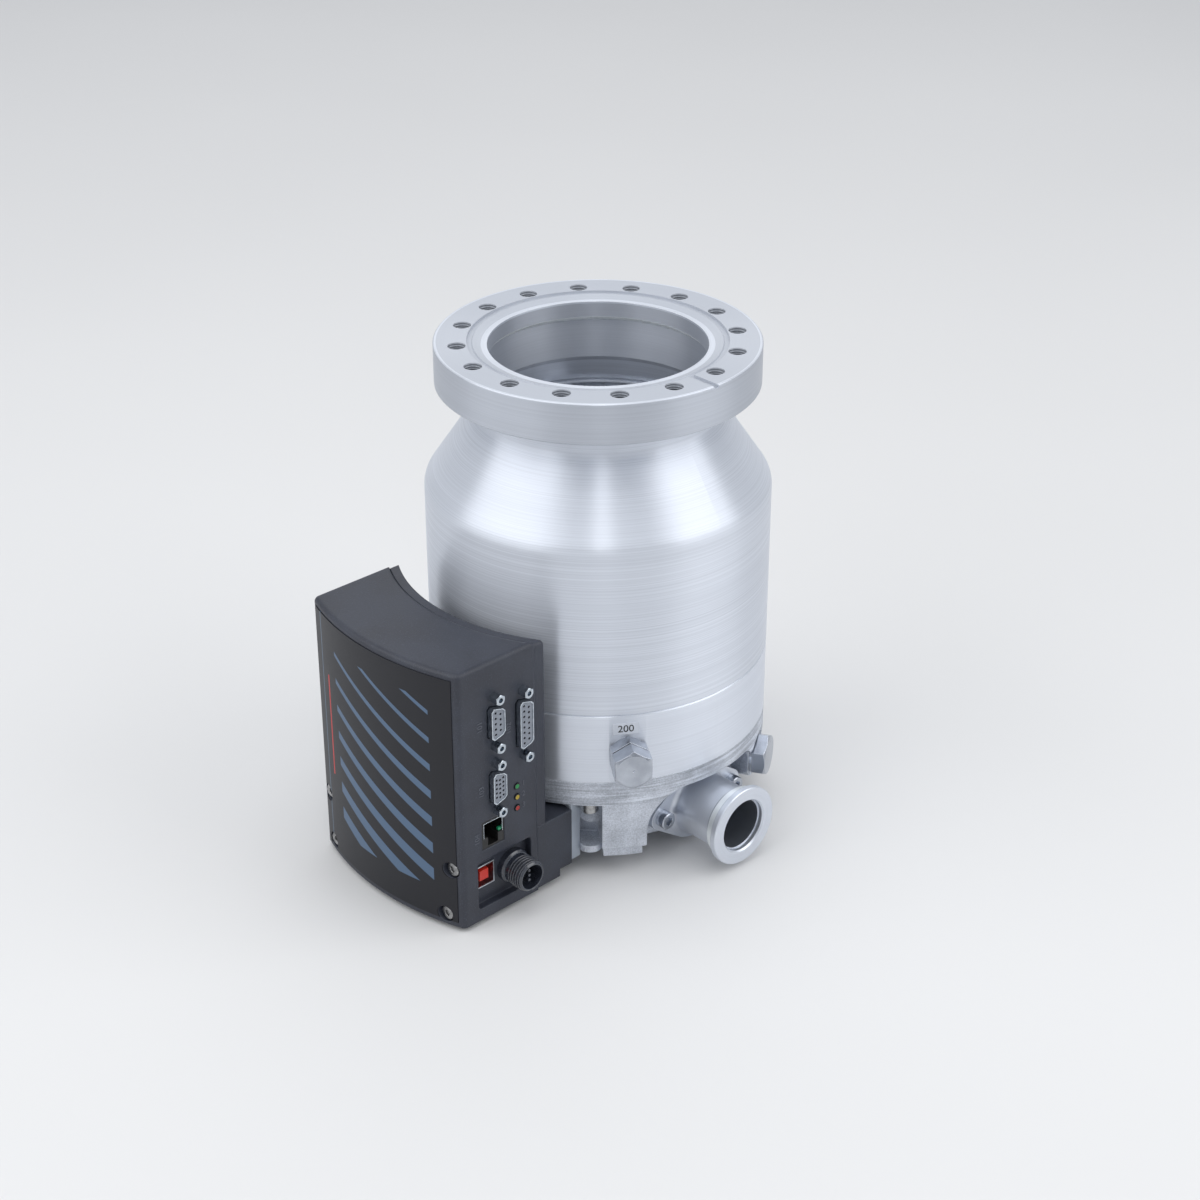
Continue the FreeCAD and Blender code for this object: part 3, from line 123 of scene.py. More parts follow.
class Tree:  # a node tree that is built by calls
    def __init__(self, tree):
        self.tree = tree
        tree.nodes.clear()

    def node(self, kind, settings=None, sockets=None):
        made = self.tree.nodes.new(kind)
        for key, setting in (settings or {}).items():
            setattr(made, key, setting)
        for key, value in (sockets or {}).items():
            self.feed(made.inputs[key], value)
        return made

    def feed(self, socket, value):
        if isinstance(value, Wire):
            value = value.socket
        if isinstance(value, bpy.types.NodeSocket):
            self.tree.links.new(value, socket)
        else:
            socket.default_value = value

    def wire(self, kind, settings=None, sockets=None, output=0):
        return Wire(self, self.node(kind, settings, sockets).outputs[output])


# How far a rounded normal has to lean before a place counts as an edge
edgeMask = {"samples": 6, "low": 0.01, "high": 0.14}


class Finish(Tree):  # a material with one Principled shader
    def __init__(self, name, **constants):
        self.material = bpy.data.materials.new(name)
        self.material.use_nodes = True
        super().__init__(self.material.node_tree)
        self.shader = self.node("ShaderNodeBsdfPrincipled")
        self.node("ShaderNodeOutputMaterial", {}, {0: self.shader.outputs[0]})
        self.object = self.node("ShaderNodeTexCoord").outputs["Object"]
        for key, value in constants.items():
            self.shader.inputs[key.replace("_", " ")].default_value = value

    def set(self, name, value):
        self.feed(self.shader.inputs[name], value)

    def axes(self):
        split = self.node("ShaderNodeSeparateXYZ", {}, {0: self.object})
        return [Wire(self, socket) for socket in split.outputs]

    def join(self, x, y, z):
        return self.wire("ShaderNodeCombineXYZ", {}, {0: x, 1: y, 2: z})

    def noise(self, size, detail=2.0, vector=None, roughness=0.5):  # size of one cell, in metres
        return self.wire("ShaderNodeTexNoise", {}, {
            "Vector": vector or self.object, "Scale": 1 / size, "Detail": detail, "Roughness": roughness})

    def mix(self, factor, first, second):
        return self.wire("ShaderNodeMix", {"data_type": "RGBA"}, {0: factor, 6: first, 7: second}, 2)

    def soften(self, radius):  # normal rounded over the edges, and a mask that is 1 on them
        soft = self.node("ShaderNodeBevel", {"samples": edgeMask["samples"]}, {"Radius": radius}).outputs[0]
        flat = self.node("ShaderNodeNewGeometry").outputs["Normal"]
        same = self.wire("ShaderNodeVectorMath", {"operation": "DOT_PRODUCT"}, {0: soft, 1: flat}, "Value")
        return soft, (1 - same).step(edgeMask["low"], edgeMask["high"])

    def bump(self, height, depth, normal=None):
        sockets = {"Height": height, "Distance": depth, "Strength": 1.0}
        if normal:
            sockets["Normal"] = normal
        self.set("Normal", self.node("ShaderNodeBump", {}, sockets).outputs[0])


# Metal that was turned on a lathe: fine rings round an axis. The shares say how much each pattern adds
turnedShares = {"wide": 0.15, "cloud": 0.3, "wornAndSheen": 0.6, "polish": 0.4, "fineHeight": 0.8, "wideHeight": 0.2}
zoneBlur = 0.0002


def turnedMetal(name, look):
    finish = Finish(name, Anisotropic=look["stretch"], Anisotropic_Rotation=0.25, Metallic=look["metal"])
    metal = look["metal"]
    x, y, z = finish.axes()
    if look.get("axis", "z") == "x":
        z = z - look["height"]
        along, radius = x, (y * y + z * z) ** 0.5
    else:
        along, radius = z, (x * x + y * y) ** 0.5
    travel = along - radius  # grows the same way on walls, cones and faces
    rings = finish.join(travel, x * look["drift"], y * look["drift"])
    fine = finish.noise(look["line"], vector=rings, roughness=0.6)
    wide = finish.noise(look["band"], vector=rings)
    cloud = finish.noise(look["cloud"], detail=3.0)
    soft, edge = finish.soften(look["edge"])
    shade = (fine - 0.5) * look["contrast"] + (wide - 0.5) * look["contrast"] * turnedShares["wide"]
    shade = shade + (cloud - 0.5) * turnedShares["cloud"] + 0.5
    colour = finish.mix(shade.clamp(), look["dark"], look["light"])
    # lighter edges: rubbed wear and painted edge highlight
    colour = finish.mix(edge * turnedShares["wornAndSheen"], colour, look["wornAndSheen"])
    rough = look["roughness"] + (fine - 0.5) * look["scatter"] + (cloud - 0.5) * look["scatter"]
    finish.set("Roughness", rough - edge * look["roughness"] * turnedShares["polish"])
    height = fine * turnedShares["fineHeight"] + wide * turnedShares["wideHeight"]
    if "holes" in look:
        inside, turn = threads(look["holes"], x, y, z)
        height = height + turn
        # painted shade inside the tapped holes
        colour = finish.mix(inside, colour, look["holes"]["shade"])
    for zone in look.get("zones", []):  # part of the piece with a shade of its own; most zones are painted shade and painted highlight
        within = radius.between(zone["from"], zone["to"], zoneBlur)
        within = within * along.between(zone["low"] - zoneBlur, zone["high"], zoneBlur)
        colour = finish.mix(within * zone["share"], colour, zone["shade"])
        if "metal" in zone:
            metal = metal + within * (zone["metal"] - look["metal"])
            finish.set("Metallic", metal)
    finish.set("Base Color", colour)
    finish.bump(height, look["depth"], soft)
    return finish.material


# Inside of a ring of tapped holes as a mask, and the height of the thread turns there
def threads(holes, x, y, z):
    step = 2 * math.pi / holes["count"]
    turned = ((y.math("ARCTAN2", y, x) - holes["first"]) / step).offWhole() * step
    radius = (x * x + y * y) ** 0.5
    ahead = radius * turned.math("COSINE", turned) - holes["ring"]
    aside = radius * turned.math("SINE", turned)
    rim = holes["rim"]
    reach = (ahead * ahead + aside * aside) ** 0.5
    inside = 1 - reach.step(holes["radius"] + rim, holes["radius"] + 3 * rim)
    inside = inside * (1 - z.step(-4 * rim, -2 * rim)) * z.step(-holes["deep"], rim - holes["deep"])
    turn = z.math("PINGPONG", z, holes["pitch"] / 2)
    return inside, turn / holes["pitch"] * 2 * inside * holes["depth"]


# Cast or blasted metal: an even grain with soft clouds, and faint cuts round the upper band
blastedShares = {"metal": 0.7, "grain": 0.55, "cloud": 0.45, "wornAndSheen": 0.7, "scatter": 0.25, "polish": 0.12,
                 "grainHeight": 0.8, "cutStretch": 0.04, "bandBlur": 0.0004, "darkAt": 0.25, "lightAt": 0.75}


def blastedMetal(name, look):
    finish = Finish(name, Metallic=blastedShares["metal"])
    x, y, z = finish.axes()
    grain = finish.noise(look["grain"], detail=4.0, roughness=0.65)
    cloud = finish.noise(look["cloud"], detail=3.0)
    stretched = finish.join(x * blastedShares["cutStretch"], y * blastedShares["cutStretch"], z)
    cuts = finish.noise(look["cut"], vector=stretched, roughness=0.6)
    soft, edge = finish.soften(look["edge"])
    band = z.step(look["bandLow"] - blastedShares["bandBlur"], look["bandLow"]) * look["cutShare"]
    shade = grain * blastedShares["grain"] + cloud * blastedShares["cloud"] + (cuts - 0.5) * band
    shade = shade.step(blastedShares["darkAt"], blastedShares["lightAt"])
    colour = finish.mix(shade, look["dark"], look["light"])
    # lighter edges: rubbed wear and painted edge highlight
    finish.set("Base Color", finish.mix(edge * blastedShares["wornAndSheen"], colour, look["wornAndSheen"]))
    rough = look["roughness"] + (grain - 0.5) * blastedShares["scatter"]
    finish.set("Roughness", rough - edge * blastedShares["polish"])
    finish.bump(grain * blastedShares["grainHeight"] + cuts * band, look["depth"], soft)
    return finish.material


# Plain metal of small parts: faint smears, and bright edges that are rubbed wear and painted edge highlight
plainShares = {"fineSize": 1 / 9, "wornAndSheen": 0.7, "smear": 0.16, "fine": 0.1, "polish": 0.06, "darkAt": 0.3,
               "lightAt": 0.7}


def plainMetal(name, look):
    finish = Finish(name, Metallic=1.0)
    smear = finish.noise(look["smear"], detail=3.0)
    fine = finish.noise(look["smear"] * plainShares["fineSize"])
    soft, edge = finish.soften(look["edge"])
    shade = smear.step(plainShares["darkAt"], plainShares["lightAt"])
    colour = finish.mix(shade, look["dark"], look["light"])
    # lighter edges: rubbed wear and painted edge highlight
    finish.set("Base Color", finish.mix(edge * plainShares["wornAndSheen"], colour, look["wornAndSheen"]))
    rough = look["roughness"] + (smear - 0.5) * plainShares["smear"] + (fine - 0.5) * plainShares["fine"]
    finish.set("Roughness", rough - edge * plainShares["polish"])
    finish.bump(fine, look["depth"], soft)
    return finish.material


# Moulded plastic, rubber, felt or varnish: grain, soft clouds, light specks that are partly painted glints,
# and edges of another tone that are worn and partly painted edge highlight
mouldedShares = {"wearAndSheen": 0.35, "shine": 0.5, "grain": 0.2, "cloud": 0.1, "darkAt": 0.3, "lightAt": 0.7,
                 "speckFrom": 0.52, "speckTo": 0.75}


def moulded(name, look):
    finish = Finish(name, Specular_IOR_Level=look.get("shine", mouldedShares["shine"]))
    grain = finish.noise(look["grain"], roughness=0.6)
    cloud = finish.noise(look["cloud"], detail=3.0)
    soft, edge = finish.soften(look["edge"])
    shade = cloud.step(mouldedShares["darkAt"], mouldedShares["lightAt"])
    colour = finish.mix(shade, look["dark"], look["light"])
    # light specks on the grain: partly the grain itself, partly painted glints
    speck = grain.step(mouldedShares["speckFrom"], mouldedShares["speckTo"]) * look.get("speck", 0)
    colour = finish.mix(speck, colour, look["wornAndSheen"])
    # edges of another tone: wear and painted edge highlight
    finish.set("Base Color", finish.mix(edge * look.get("wearAndSheen", mouldedShares["wearAndSheen"]), colour, look["wornAndSheen"]))
    rough = look["roughness"] + (grain - 0.5) * mouldedShares["grain"]
    finish.set("Roughness", rough + (cloud - 0.5) * mouldedShares["cloud"])
    finish.bump(grain, look["depth"], soft)
    return finish.material


# Front film of the controller: satin black with slanted bars, a hairline and a red line. Places are in
# millimetres, down from the top of the film and across from the middle of the controller
def printedFilm(name, look):
    finish = Finish(name, Coat_Weight=look["coat"], Coat_Roughness=look["coatRoughness"],
                    Specular_IOR_Level=look["shine"])
    x, _, z = finish.axes()
    down = (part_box("front_overlay")[1].z - z) / mm
    across = x / mm
    blur, fineBlur = look["blur"], look["fineBlur"]
    block = down.between(look["blockFrom"], look["blockTo"], blur)
    block = block * across.between(look["left"], look["right"], blur)
    slant = (down + across * look["slope"]) / look["pitch"]
    share = (down - look["blockFrom"]) / (look["blockTo"] - look["blockFrom"])
    thick = look["thin"] + share * look["thicker"]
    bars = (1 - (slant.math("FRACT", slant) - thick).step(0, look["barBlur"])) * block
    grain = finish.noise(look["grain"])
    cloud = finish.noise(look["cloud"])
    printed = finish.mix(bars.clamp(), finish.mix(cloud, look["dark"], look["light"]), look["bar"])
    printed = finish.mix(across.between(look["hairAt"], look["hairAt"] + look["hairWide"], fineBlur),
                         printed, look["hair"])
    accent = across.between(look["accentAt"], look["accentAt"] + look["accentWide"], fineBlur)
    accent = accent * down.between(look["accentFrom"], look["accentTo"], fineBlur)
    finish.set("Base Color", finish.mix(accent, printed, look["accent"]))
    rough = look["roughness"] + (grain - 0.5) * look["scatter"]
    finish.set("Roughness", rough + (cloud - 0.5) * look["scatter"])
    finish.bump(grain, look["depth"], finish.soften(look["edge"])[0])
    return finish.material


# Light pipes: green, yellow and red from the top down, each with a dark collar
def lightPipes(name, look):
    finish = Finish(name, Roughness=look["roughness"])
    _, y, z = finish.axes()
    blur = look["blur"]
    upper = z.step(look["top"] - look["step"] / 2 - blur, look["top"] - look["step"] / 2)
    lower = z.step(look["top"] - look["step"] * 1.5 - blur, look["top"] - look["step"] * 1.5)
    above = ((z - look["top"]) / look["step"]).offWhole() * look["step"]
    aside = y - look["across"]
    reach = (above * above + aside * aside) ** 0.5
    cloud = finish.noise(look["cloud"])
    colour = finish.mix(upper, finish.mix(lower, look["low"], look["middle"]), look["high"])
    colour = finish.mix(cloud * look["cloudShare"], colour, look["murk"])
    colour = finish.mix(reach.step(look["lens"], look["lens"] + look["lensBlur"]), colour, look["collar"])
    finish.set("Base Color", colour)
    finish.set("Emission Color", colour)
    finish.set("Emission Strength", look["glow"])
    finish.bump(cloud, look["depth"])
    return finish.material


# Square data socket: bright metal shell round a red core
def squareSocket(name, look):
    finish = Finish(name)
    _, y, z = finish.axes()
    low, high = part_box("usb_socket")
    inner = (high - low) / 2 - Vector((look["wall"],) * 3)  # half sizes inside the shell
    beside = y.off((low.y + high.y) / 2).step(inner.y - look["blur"], inner.y)
    above = z.off((low.z + high.z) / 2).step(inner.z - look["blur"], inner.z)
    shell = (beside + above).clamp()
    cloud = finish.noise(look["cloud"], detail=3.0)
    soft, edge = finish.soften(look["edge"])
    # lighter edges of the core: wear and painted edge highlight
    core = finish.mix(edge * look["wearAndSheen"], finish.mix(cloud, look["dark"], look["light"]), look["wornAndSheen"])
    finish.set("Base Color", finish.mix(shell, core, look["metal"]))
    finish.set("Metallic", shell)
    finish.set("Roughness", look["roughness"] + (cloud - 0.5) * look["scatter"])
    finish.bump(cloud, look["depth"], soft)
    return finish.material


# Plastic cores of the D-shaped sockets: pale faces, with painted shade in their holes
def drilledPlastic(name, look):
    finish = Finish(name)
    x = finish.axes()[0]
    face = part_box("socket_insulators")[1].x - look["blur"]
    cloud = finish.noise(look["cloud"], detail=3.0)
    pale = finish.mix(cloud, look["dark"], look["light"])
    # below the face the colour is painted shade in the holes
    finish.set("Base Color", finish.mix(x.step(face - look["blur"], face), look["hole"], pale))
    finish.set("Roughness", look["roughness"] + (cloud - 0.5) * look["scatter"])
    finish.bump(finish.noise(look["grain"]), look["depth"])
    return finish.material


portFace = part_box("foreline_port")[1]
mouthStep = 0.0098  # depth of the step inside the inlet mouth
zPort = (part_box("foreline_port")[0].z + portFace.z) / 2
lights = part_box("status_lights")
lightWidth = lights[1].y - lights[0].y

# Parts of the housing and of the foreline port that get a shade of their own: from one radius to another,
# and from low to high along the axis. Apart from the face of the flange, these are painted shade and painted
# highlight
housingZones = [
    # edge of the flange: a darker tone, partly painted shade standing for a darker reflection
    {"from": 0.0735, "to": 0.2, "low": -0.0196, "high": -0.0004, "share": 0.5, "shade": silver(160)},
    # face of the flange
    {"from": 0.0537, "to": 0.0742, "low": -0.0028, "high": 0.001, "share": 0.85, "shade": silver(182),
     "metal": 0.15},
    # wall of the mouth, above its step: painted shade
    {"from": 0.0, "to": 0.0536, "low": -mouthStep, "high": -0.0030, "share": 0.7, "shade": silver(176)},
    # wall of the mouth, below its step: painted shade
    {"from": 0.0, "to": 0.0560, "low": -0.0330, "high": -mouthStep - 0.0019, "share": 0.6,
     "shade": silver(176)},
    # painted highlight on the step between them
    {"from": 0.0, "to": 0.0560, "low": -mouthStep - 0.0018, "high": -mouthStep, "share": 1.0,
     "shade": silver(255), "metal": 0.0},
]
portZones = [
    # bore: painted shade inside it
    {"from": 0.0, "to": 0.0126, "low": 0.0, "high": portFace.x - 0.0032, "share": 1.0, "shade": silver(150)},
    # painted shade of a groove behind the flange
    {"from": 0.0150, "to": 0.0190, "low": portFace.x - 0.0044, "high": portFace.x - 0.0032, "share": 0.85,
     "shade": silver(110)},
    # painted highlight on the collar
    {"from": 0.0166, "to": 0.0185, "low": portFace.x - 0.0078, "high": portFace.x - 0.0050, "share": 0.8,
     "shade": silver(254)},
    # painted shade of a groove behind the collar
    {"from": 0.0150, "to": 0.0172, "low": portFace.x - 0.0092, "high": portFace.x - 0.0084, "share": 0.7,
     "shade": silver(130)},
]

finishes = {
    "turned_aluminium": turnedMetal("turnedAluminium", {
        "dark": silver(204), "light": silver(240), "wornAndSheen": silver(248), "roughness": 0.42, "scatter": 0.07,
        "contrast": 1.15, "line": 0.0006, "band": 0.012, "cloud": 0.05, "drift": 0.002, "depth": 0.00002,
        "edge": 0.00025, "stretch": 0.9, "metal": 0.66,
        "zones": housingZones,
        # the shade of the holes is painted shade inside them
        "holes": {"count": 16, "first": math.radians(10), "ring": 0.0651, "radius": 0.0042, "rim": 0.0001,
                  "pitch": 0.00125, "deep": 0.0193, "depth": 14.0, "shade": silver(104)}}),
    "polished_aluminium": turnedMetal("polishedAluminium", {
        "dark": silver(216), "light": silver(240), "wornAndSheen": silver(248), "roughness": 0.4, "scatter": 0.05,
        "contrast": 0.8, "line": 0.0006, "band": 0.01, "cloud": 0.03, "drift": 0.002, "depth": 0.000006,
        "edge": 0.0003, "stretch": 0.85, "metal": 0.72}),
    "port_aluminium": turnedMetal("portAluminium", {
        "axis": "x", "height": zPort,
        "dark": silver(208), "light": silver(232), "wornAndSheen": silver(246), "roughness": 0.36, "scatter": 0.05,
        "contrast": 0.5, "line": 0.0004, "band": 0.006, "cloud": 0.01, "drift": 0.002, "depth": 0.000004,
        "edge": 0.0003, "stretch": 0.0, "metal": 0.8,
        "zones": portZones}),
    "cast_aluminium": blastedMetal("castAluminium", {
        "dark": silver(164), "light": silver(236), "wornAndSheen": silver(244), "roughness": 0.55, "grain": 0.0007,
        "cloud": 0.012, "cut": 0.0012, "bandLow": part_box("lower_ring")[0].z - 0.013, "cutShare": 0.7,
        "depth": 0.00016, "edge": 0.0007}),
    "milled_aluminium": turnedMetal("milledAluminium", {
        "dark": silver(200), "light": silver(228), "wornAndSheen": silver(244), "roughness": 0.38, "scatter": 0.06,
        "contrast": 0.7, "line": 0.0007, "band": 0.008, "cloud": 0.02, "drift": 0.003, "depth": 0.000008,
        "edge": 0.0003, "stretch": 0.4, "metal": 0.75}),
    "rotor_aluminium": plainMetal("rotorAluminium", {
        "dark": silver(170), "light": silver(188), "wornAndSheen": grey(230), "roughness": 0.36, "smear": 0.003,
        "depth": 0.000006, "edge": 0.0003}),
    "stainless": plainMetal("stainless", {
        "dark": silver(172), "light": silver(198), "wornAndSheen": silver(242), "roughness": 0.22, "smear": 0.012,
        "depth": 0.000001, "edge": 0.0004}),
    "screw_steel": plainMetal("screwSteel", {
        "dark": grey(142), "light": grey(186), "wornAndSheen": grey(228), "roughness": 0.30, "smear": 0.002,
        "depth": 0.000004, "edge": 0.0003}),
    "bearing_steel": turnedMetal("bearingSteel", {
        "dark": grey(196), "light": grey(222), "wornAndSheen": grey(245), "roughness": 0.14, "scatter": 0.05,
        "contrast": 0.4, "line": 0.0002, "band": 0.002, "cloud": 0.004, "drift": 0.004, "depth": 0.000001,
        "edge": 0.0002, "stretch": 0.4, "metal": 1.0}),
    "ceramic": moulded("ceramic", {
        "dark": grey(38), "light": grey(48), "wornAndSheen": grey(70), "roughness": 0.12, "grain": 0.0002,
        "cloud": 0.002, "depth": 0.0000005, "edge": 0.0001}),
    "carbon_fibre": moulded("carbonFibre", {
        "dark": grey(24), "light": grey(52), "wornAndSheen": grey(80), "roughness": 0.34, "grain": 0.0004,
        "cloud": 0.003, "depth": 0.00001, "edge": 0.0003}),
    "magnet": plainMetal("magnet", {
        "dark": grey(120), "light": grey(150), "wornAndSheen": grey(190), "roughness": 0.28, "smear": 0.002,
        "depth": 0.000003, "edge": 0.0003}),
    "copper": plainMetal("copper", {
        "dark": screen(168, 84, 42), "light": screen(214, 128, 78), "wornAndSheen": screen(240, 170, 120),
        "roughness": 0.3, "smear": 0.0016, "depth": 0.00002, "edge": 0.0003}),
    "laminated_steel": turnedMetal("laminatedSteel", {
        "dark": grey(92), "light": grey(138), "wornAndSheen": grey(170), "roughness": 0.42, "scatter": 0.1,
        "contrast": 1.2, "line": 0.0007, "band": 0.004, "cloud": 0.01, "drift": 0.001, "depth": 0.00004,
        "edge": 0.0003, "stretch": 0.3, "metal": 1.0}),
    "cage_plastic": moulded("cagePlastic", {
        "dark": screen(128, 88, 48), "light": screen(164, 118, 68), "wornAndSheen": screen(190, 150, 96),
        "roughness": 0.5, "grain": 0.0002, "cloud": 0.001, "depth": 0.00001, "edge": 0.0002}),
    "rubber": moulded("rubber", {
        "dark": grey(34), "light": grey(44), "wornAndSheen": grey(70), "roughness": 0.72, "grain": 0.0003,
        "cloud": 0.006, "depth": 0.00001, "edge": 0.0005, "shine": 0.3}),
    "felt": moulded("felt", {
        "dark": screen(186, 180, 164), "light": screen(214, 208, 194), "wornAndSheen": screen(230, 226, 214),
        "roughness": 0.92, "grain": 0.0005, "cloud": 0.003, "depth": 0.00018, "edge": 0.0008, "shine": 0.1}),
    "charcoal_plastic": moulded("charcoalPlastic", {
        "dark": screen(42, 45, 55), "light": screen(50, 54, 65), "wornAndSheen": screen(80, 85, 98),
        "roughness": 0.46, "grain": 0.0006, "cloud": 0.02, "depth": 0.00007, "edge": 0.0012, "shine": 0.5,
        "speck": 0.5}),
    "front_film": printedFilm("frontFilm", {
        "dark": screen(20, 21, 27), "light": screen(25, 26, 33), "roughness": 0.42, "scatter": 0.08,
        "coat": 0.1, "coatRoughness": 0.3, "shine": 0.3,
        "grain": 0.0003, "cloud": 0.03, "depth": 0.000004, "edge": 0.0003, "blur": 0.15, "fineBlur": 0.1,
        "bar": screen(80, 102, 128), "slope": -0.5, "pitch": 14.0, "thin": 0.12, "thicker": 0.34,
        "barBlur": 0.02, "blockFrom": 12.0, "blockTo": 112.0, "left": -28.0, "right": 36.0,
        "hair": screen(100, 122, 146), "hairAt": -42.0, "hairWide": 0.5,
        "accent": screen(186, 34, 34), "accentAt": -36.0, "accentWide": 1.1, "accentFrom": 30.0,
        "accentTo": 84.0}),
    "bracket_metal": blastedMetal("bracketMetal", {
        "dark": screen(168, 176, 186), "light": screen(186, 194, 204), "wornAndSheen": screen(215, 221, 228),
        "roughness": 0.42, "grain": 0.0005, "cloud": 0.008, "cut": 0.001, "bandLow": 1.0, "cutShare": 0.0,
        "depth": 0.00001, "edge": 0.0005}),
    "nickel": plainMetal("nickel", {
        "dark": screen(172, 180, 188), "light": screen(206, 214, 222), "wornAndSheen": screen(240, 245, 250),
        "roughness": 0.2, "smear": 0.002, "depth": 0.000002, "edge": 0.0002}),
    "socket_black": moulded("socketBlack", {
        "dark": grey(26), "light": grey(34), "wornAndSheen": grey(74), "roughness": 0.32, "grain": 0.0003,
        "cloud": 0.004, "depth": 0.000004, "edge": 0.0003}),
    "board_green": moulded("boardGreen", {
        "dark": screen(20, 78, 48), "light": screen(28, 98, 60), "wornAndSheen": screen(150, 150, 110),
        "roughness": 0.35, "grain": 0.0006, "cloud": 0.004, "depth": 0.00001, "edge": 0.0003}),
    "light_pipe": lightPipes("lightPipe", {
        "top": lights[1].z - lightWidth / 2, "step": (lights[1].z - lights[0].z - lightWidth) / 2,
        "across": lights[0].y + lightWidth / 2, "blur": 0.0001, "lens": 0.00105, "lensBlur": 0.00015,
        "high": screen(28, 132, 70), "middle": screen(170, 146, 36), "low": screen(158, 30, 28),
        "collar": grey(18), "murk": grey(30), "cloud": 0.0008, "cloudShare": 0.25, "depth": 0.00002,
        "glow": 0.08, "roughness": 0.22}),
    "usb_red": squareSocket("usbRed", {
        "dark": screen(186, 34, 24), "light": screen(214, 52, 36), "wornAndSheen": screen(240, 120, 90),
        "metal": screen(188, 194, 200), "wall": 0.00062, "blur": 0.00005, "cloud": 0.002, "wearAndSheen": 0.5,
        "edge": 0.0003, "depth": 0.00001, "roughness": 0.3, "scatter": 0.15}),
    "gold": plainMetal("gold", {
        "dark": screen(196, 160, 84), "light": screen(226, 194, 120), "wornAndSheen": screen(246, 222, 160),
        "roughness": 0.25, "smear": 0.001, "depth": 0.000001, "edge": 0.0001}),
    "label_film": moulded("labelFilm", {
        "dark": silver(206), "light": silver(214), "wornAndSheen": silver(110), "roughness": 0.5, "grain": 0.0004,
        "cloud": 0.004, "depth": 0.000002, "edge": 0.0002}),
    "glossy_black": moulded("glossyBlack", {
        "dark": screen(38, 41, 50), "light": screen(48, 52, 62), "wornAndSheen": screen(110, 120, 134),
        "roughness": 0.2, "grain": 0.0003, "cloud": 0.004, "depth": 0.000002, "edge": 0.0003, "shine": 1.0,
        "wearAndSheen": 0.8}),
    # lighter than the panel round them: painted highlight on the raised numbers
    "raised_number": moulded("raisedNumberSheen", {
        "dark": screen(72, 76, 86), "light": screen(82, 86, 96), "wornAndSheen": screen(120, 126, 138),
        "roughness": 0.4, "grain": 0.0003, "cloud": 0.004, "depth": 0.000004, "edge": 0.0001}),
    "insulator_grey": drilledPlastic("insulatorGrey", {
        "dark": screen(120, 126, 136), "light": screen(140, 146, 156), "hole": screen(20, 22, 30),
        "blur": 0.0002, "cloud": 0.002, "grain": 0.0003, "depth": 0.000003, "roughness": 0.4,
        "scatter": 0.1}),
    "link_light": moulded("linkLight", {
        "dark": screen(24, 120, 84), "light": screen(40, 150, 104), "wornAndSheen": screen(60, 170, 130),
        "roughness": 0.2, "grain": 0.0003, "cloud": 0.001, "depth": 0.000001, "edge": 0.0001}),
}

# Nodes whose finish differs from their slot's
otherFinish = {"foreline_port": "port_aluminium", "power_socket": "glossy_black",
               "socket_insulators": "insulator_grey"}

for part in frame["record"]["subparts"]:
    node = nodes[part["node"]]
    finish = finishes[otherFinish.get(part["node"], part["material_slot"])]
    node.data.materials.clear()
    node.data.materials.append(finish)
print("finishes made:", len(finishes))


# A piece of the scene: a plain mesh at the origin that moves with the pump
def place(name, mesh, slot):
    mesh.materials.clear()
    mesh.materials.append(finishes[slot])
    piece = bpy.data.objects.new(name, mesh)
    bpy.context.scene.collection.objects.link(piece)
    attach(piece, "pump_body")


# Mesh that a geometry node tree makes from a base mesh; build gets the tree and its inputs by name
def grown(name, base, inputs, slot, build):
    group = bpy.data.node_groups.new(name, "GeometryNodeTree")
    group.interface.new_socket("Geometry", in_out="OUTPUT", socket_type="NodeSocketGeometry")
    group.interface.new_socket("Geometry", in_out="INPUT", socket_type="NodeSocketGeometry")
    keys = {label: group.interface.new_socket(label, in_out="INPUT", socket_type="NodeSocketFloat").identifier
            for label in inputs}
    tree = Tree(group)
    given = tree.node("NodeGroupInput").outputs
    shape = build(tree, {socket.name: socket for socket in given if socket.name})
    real = tree.node("GeometryNodeRealizeInstances", {}, {0: shape}).outputs[0]
    done = tree.node("GeometryNodeSetMaterial", {}, {0: real, 2: finishes[slot]}).outputs[0]
    tree.node("NodeGroupOutput", {}, {0: done})
    holder = bpy.data.objects.new(name + "Holder", base)
    bpy.context.scene.collection.objects.link(holder)
    modifier = holder.modifiers.new("grow", "NODES")
    modifier.node_group = group
    for label, value in inputs.items():
        modifier[keys[label]] = value
    ready = holder.evaluated_get(bpy.context.evaluated_depsgraph_get())
    mesh = bpy.data.meshes.new_from_object(ready)
    holder.modifiers.clear()
    bpy.data.objects.remove(holder)
    mesh.name = name
    return mesh


# Mesh of loose points that a tree puts its copies on
def pointMesh(name, points):
    mesh = bpy.data.meshes.new(name)
    mesh.from_pydata(points, [], [])
    return mesh


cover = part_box("controller_cover")
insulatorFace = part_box("socket_insulators")[1].x
panelBack = cover[1].y  # back edge of the side panel
panelFoot = cover[0].z  # lower edge of the side panel
quarterTurn = (0, math.pi / 2, 0)  # from along Z to along X

# Contacts in the three D-shaped sockets; across is from the panel's back edge, up from its foot
contactLook = {"radius": 0.00052, "length": 0.0012, "sunk": 0.0021, "sides": 10, "stagger": 0.25}
contactSockets = [
    {"across": 24.6 * mm, "up": 104.1 * mm, "rows": [5, 4], "pitch": 2.77 * mm, "rowStep": 2.84 * mm},
    {"across": 7.8 * mm, "up": 96.7 * mm, "rows": [8, 7], "pitch": 2.77 * mm, "rowStep": 2.84 * mm},
    {"across": 24.4 * mm, "up": 70.1 * mm, "rows": [5, 5, 5], "pitch": 2.29 * mm, "rowStep": 1.98 * mm},
]


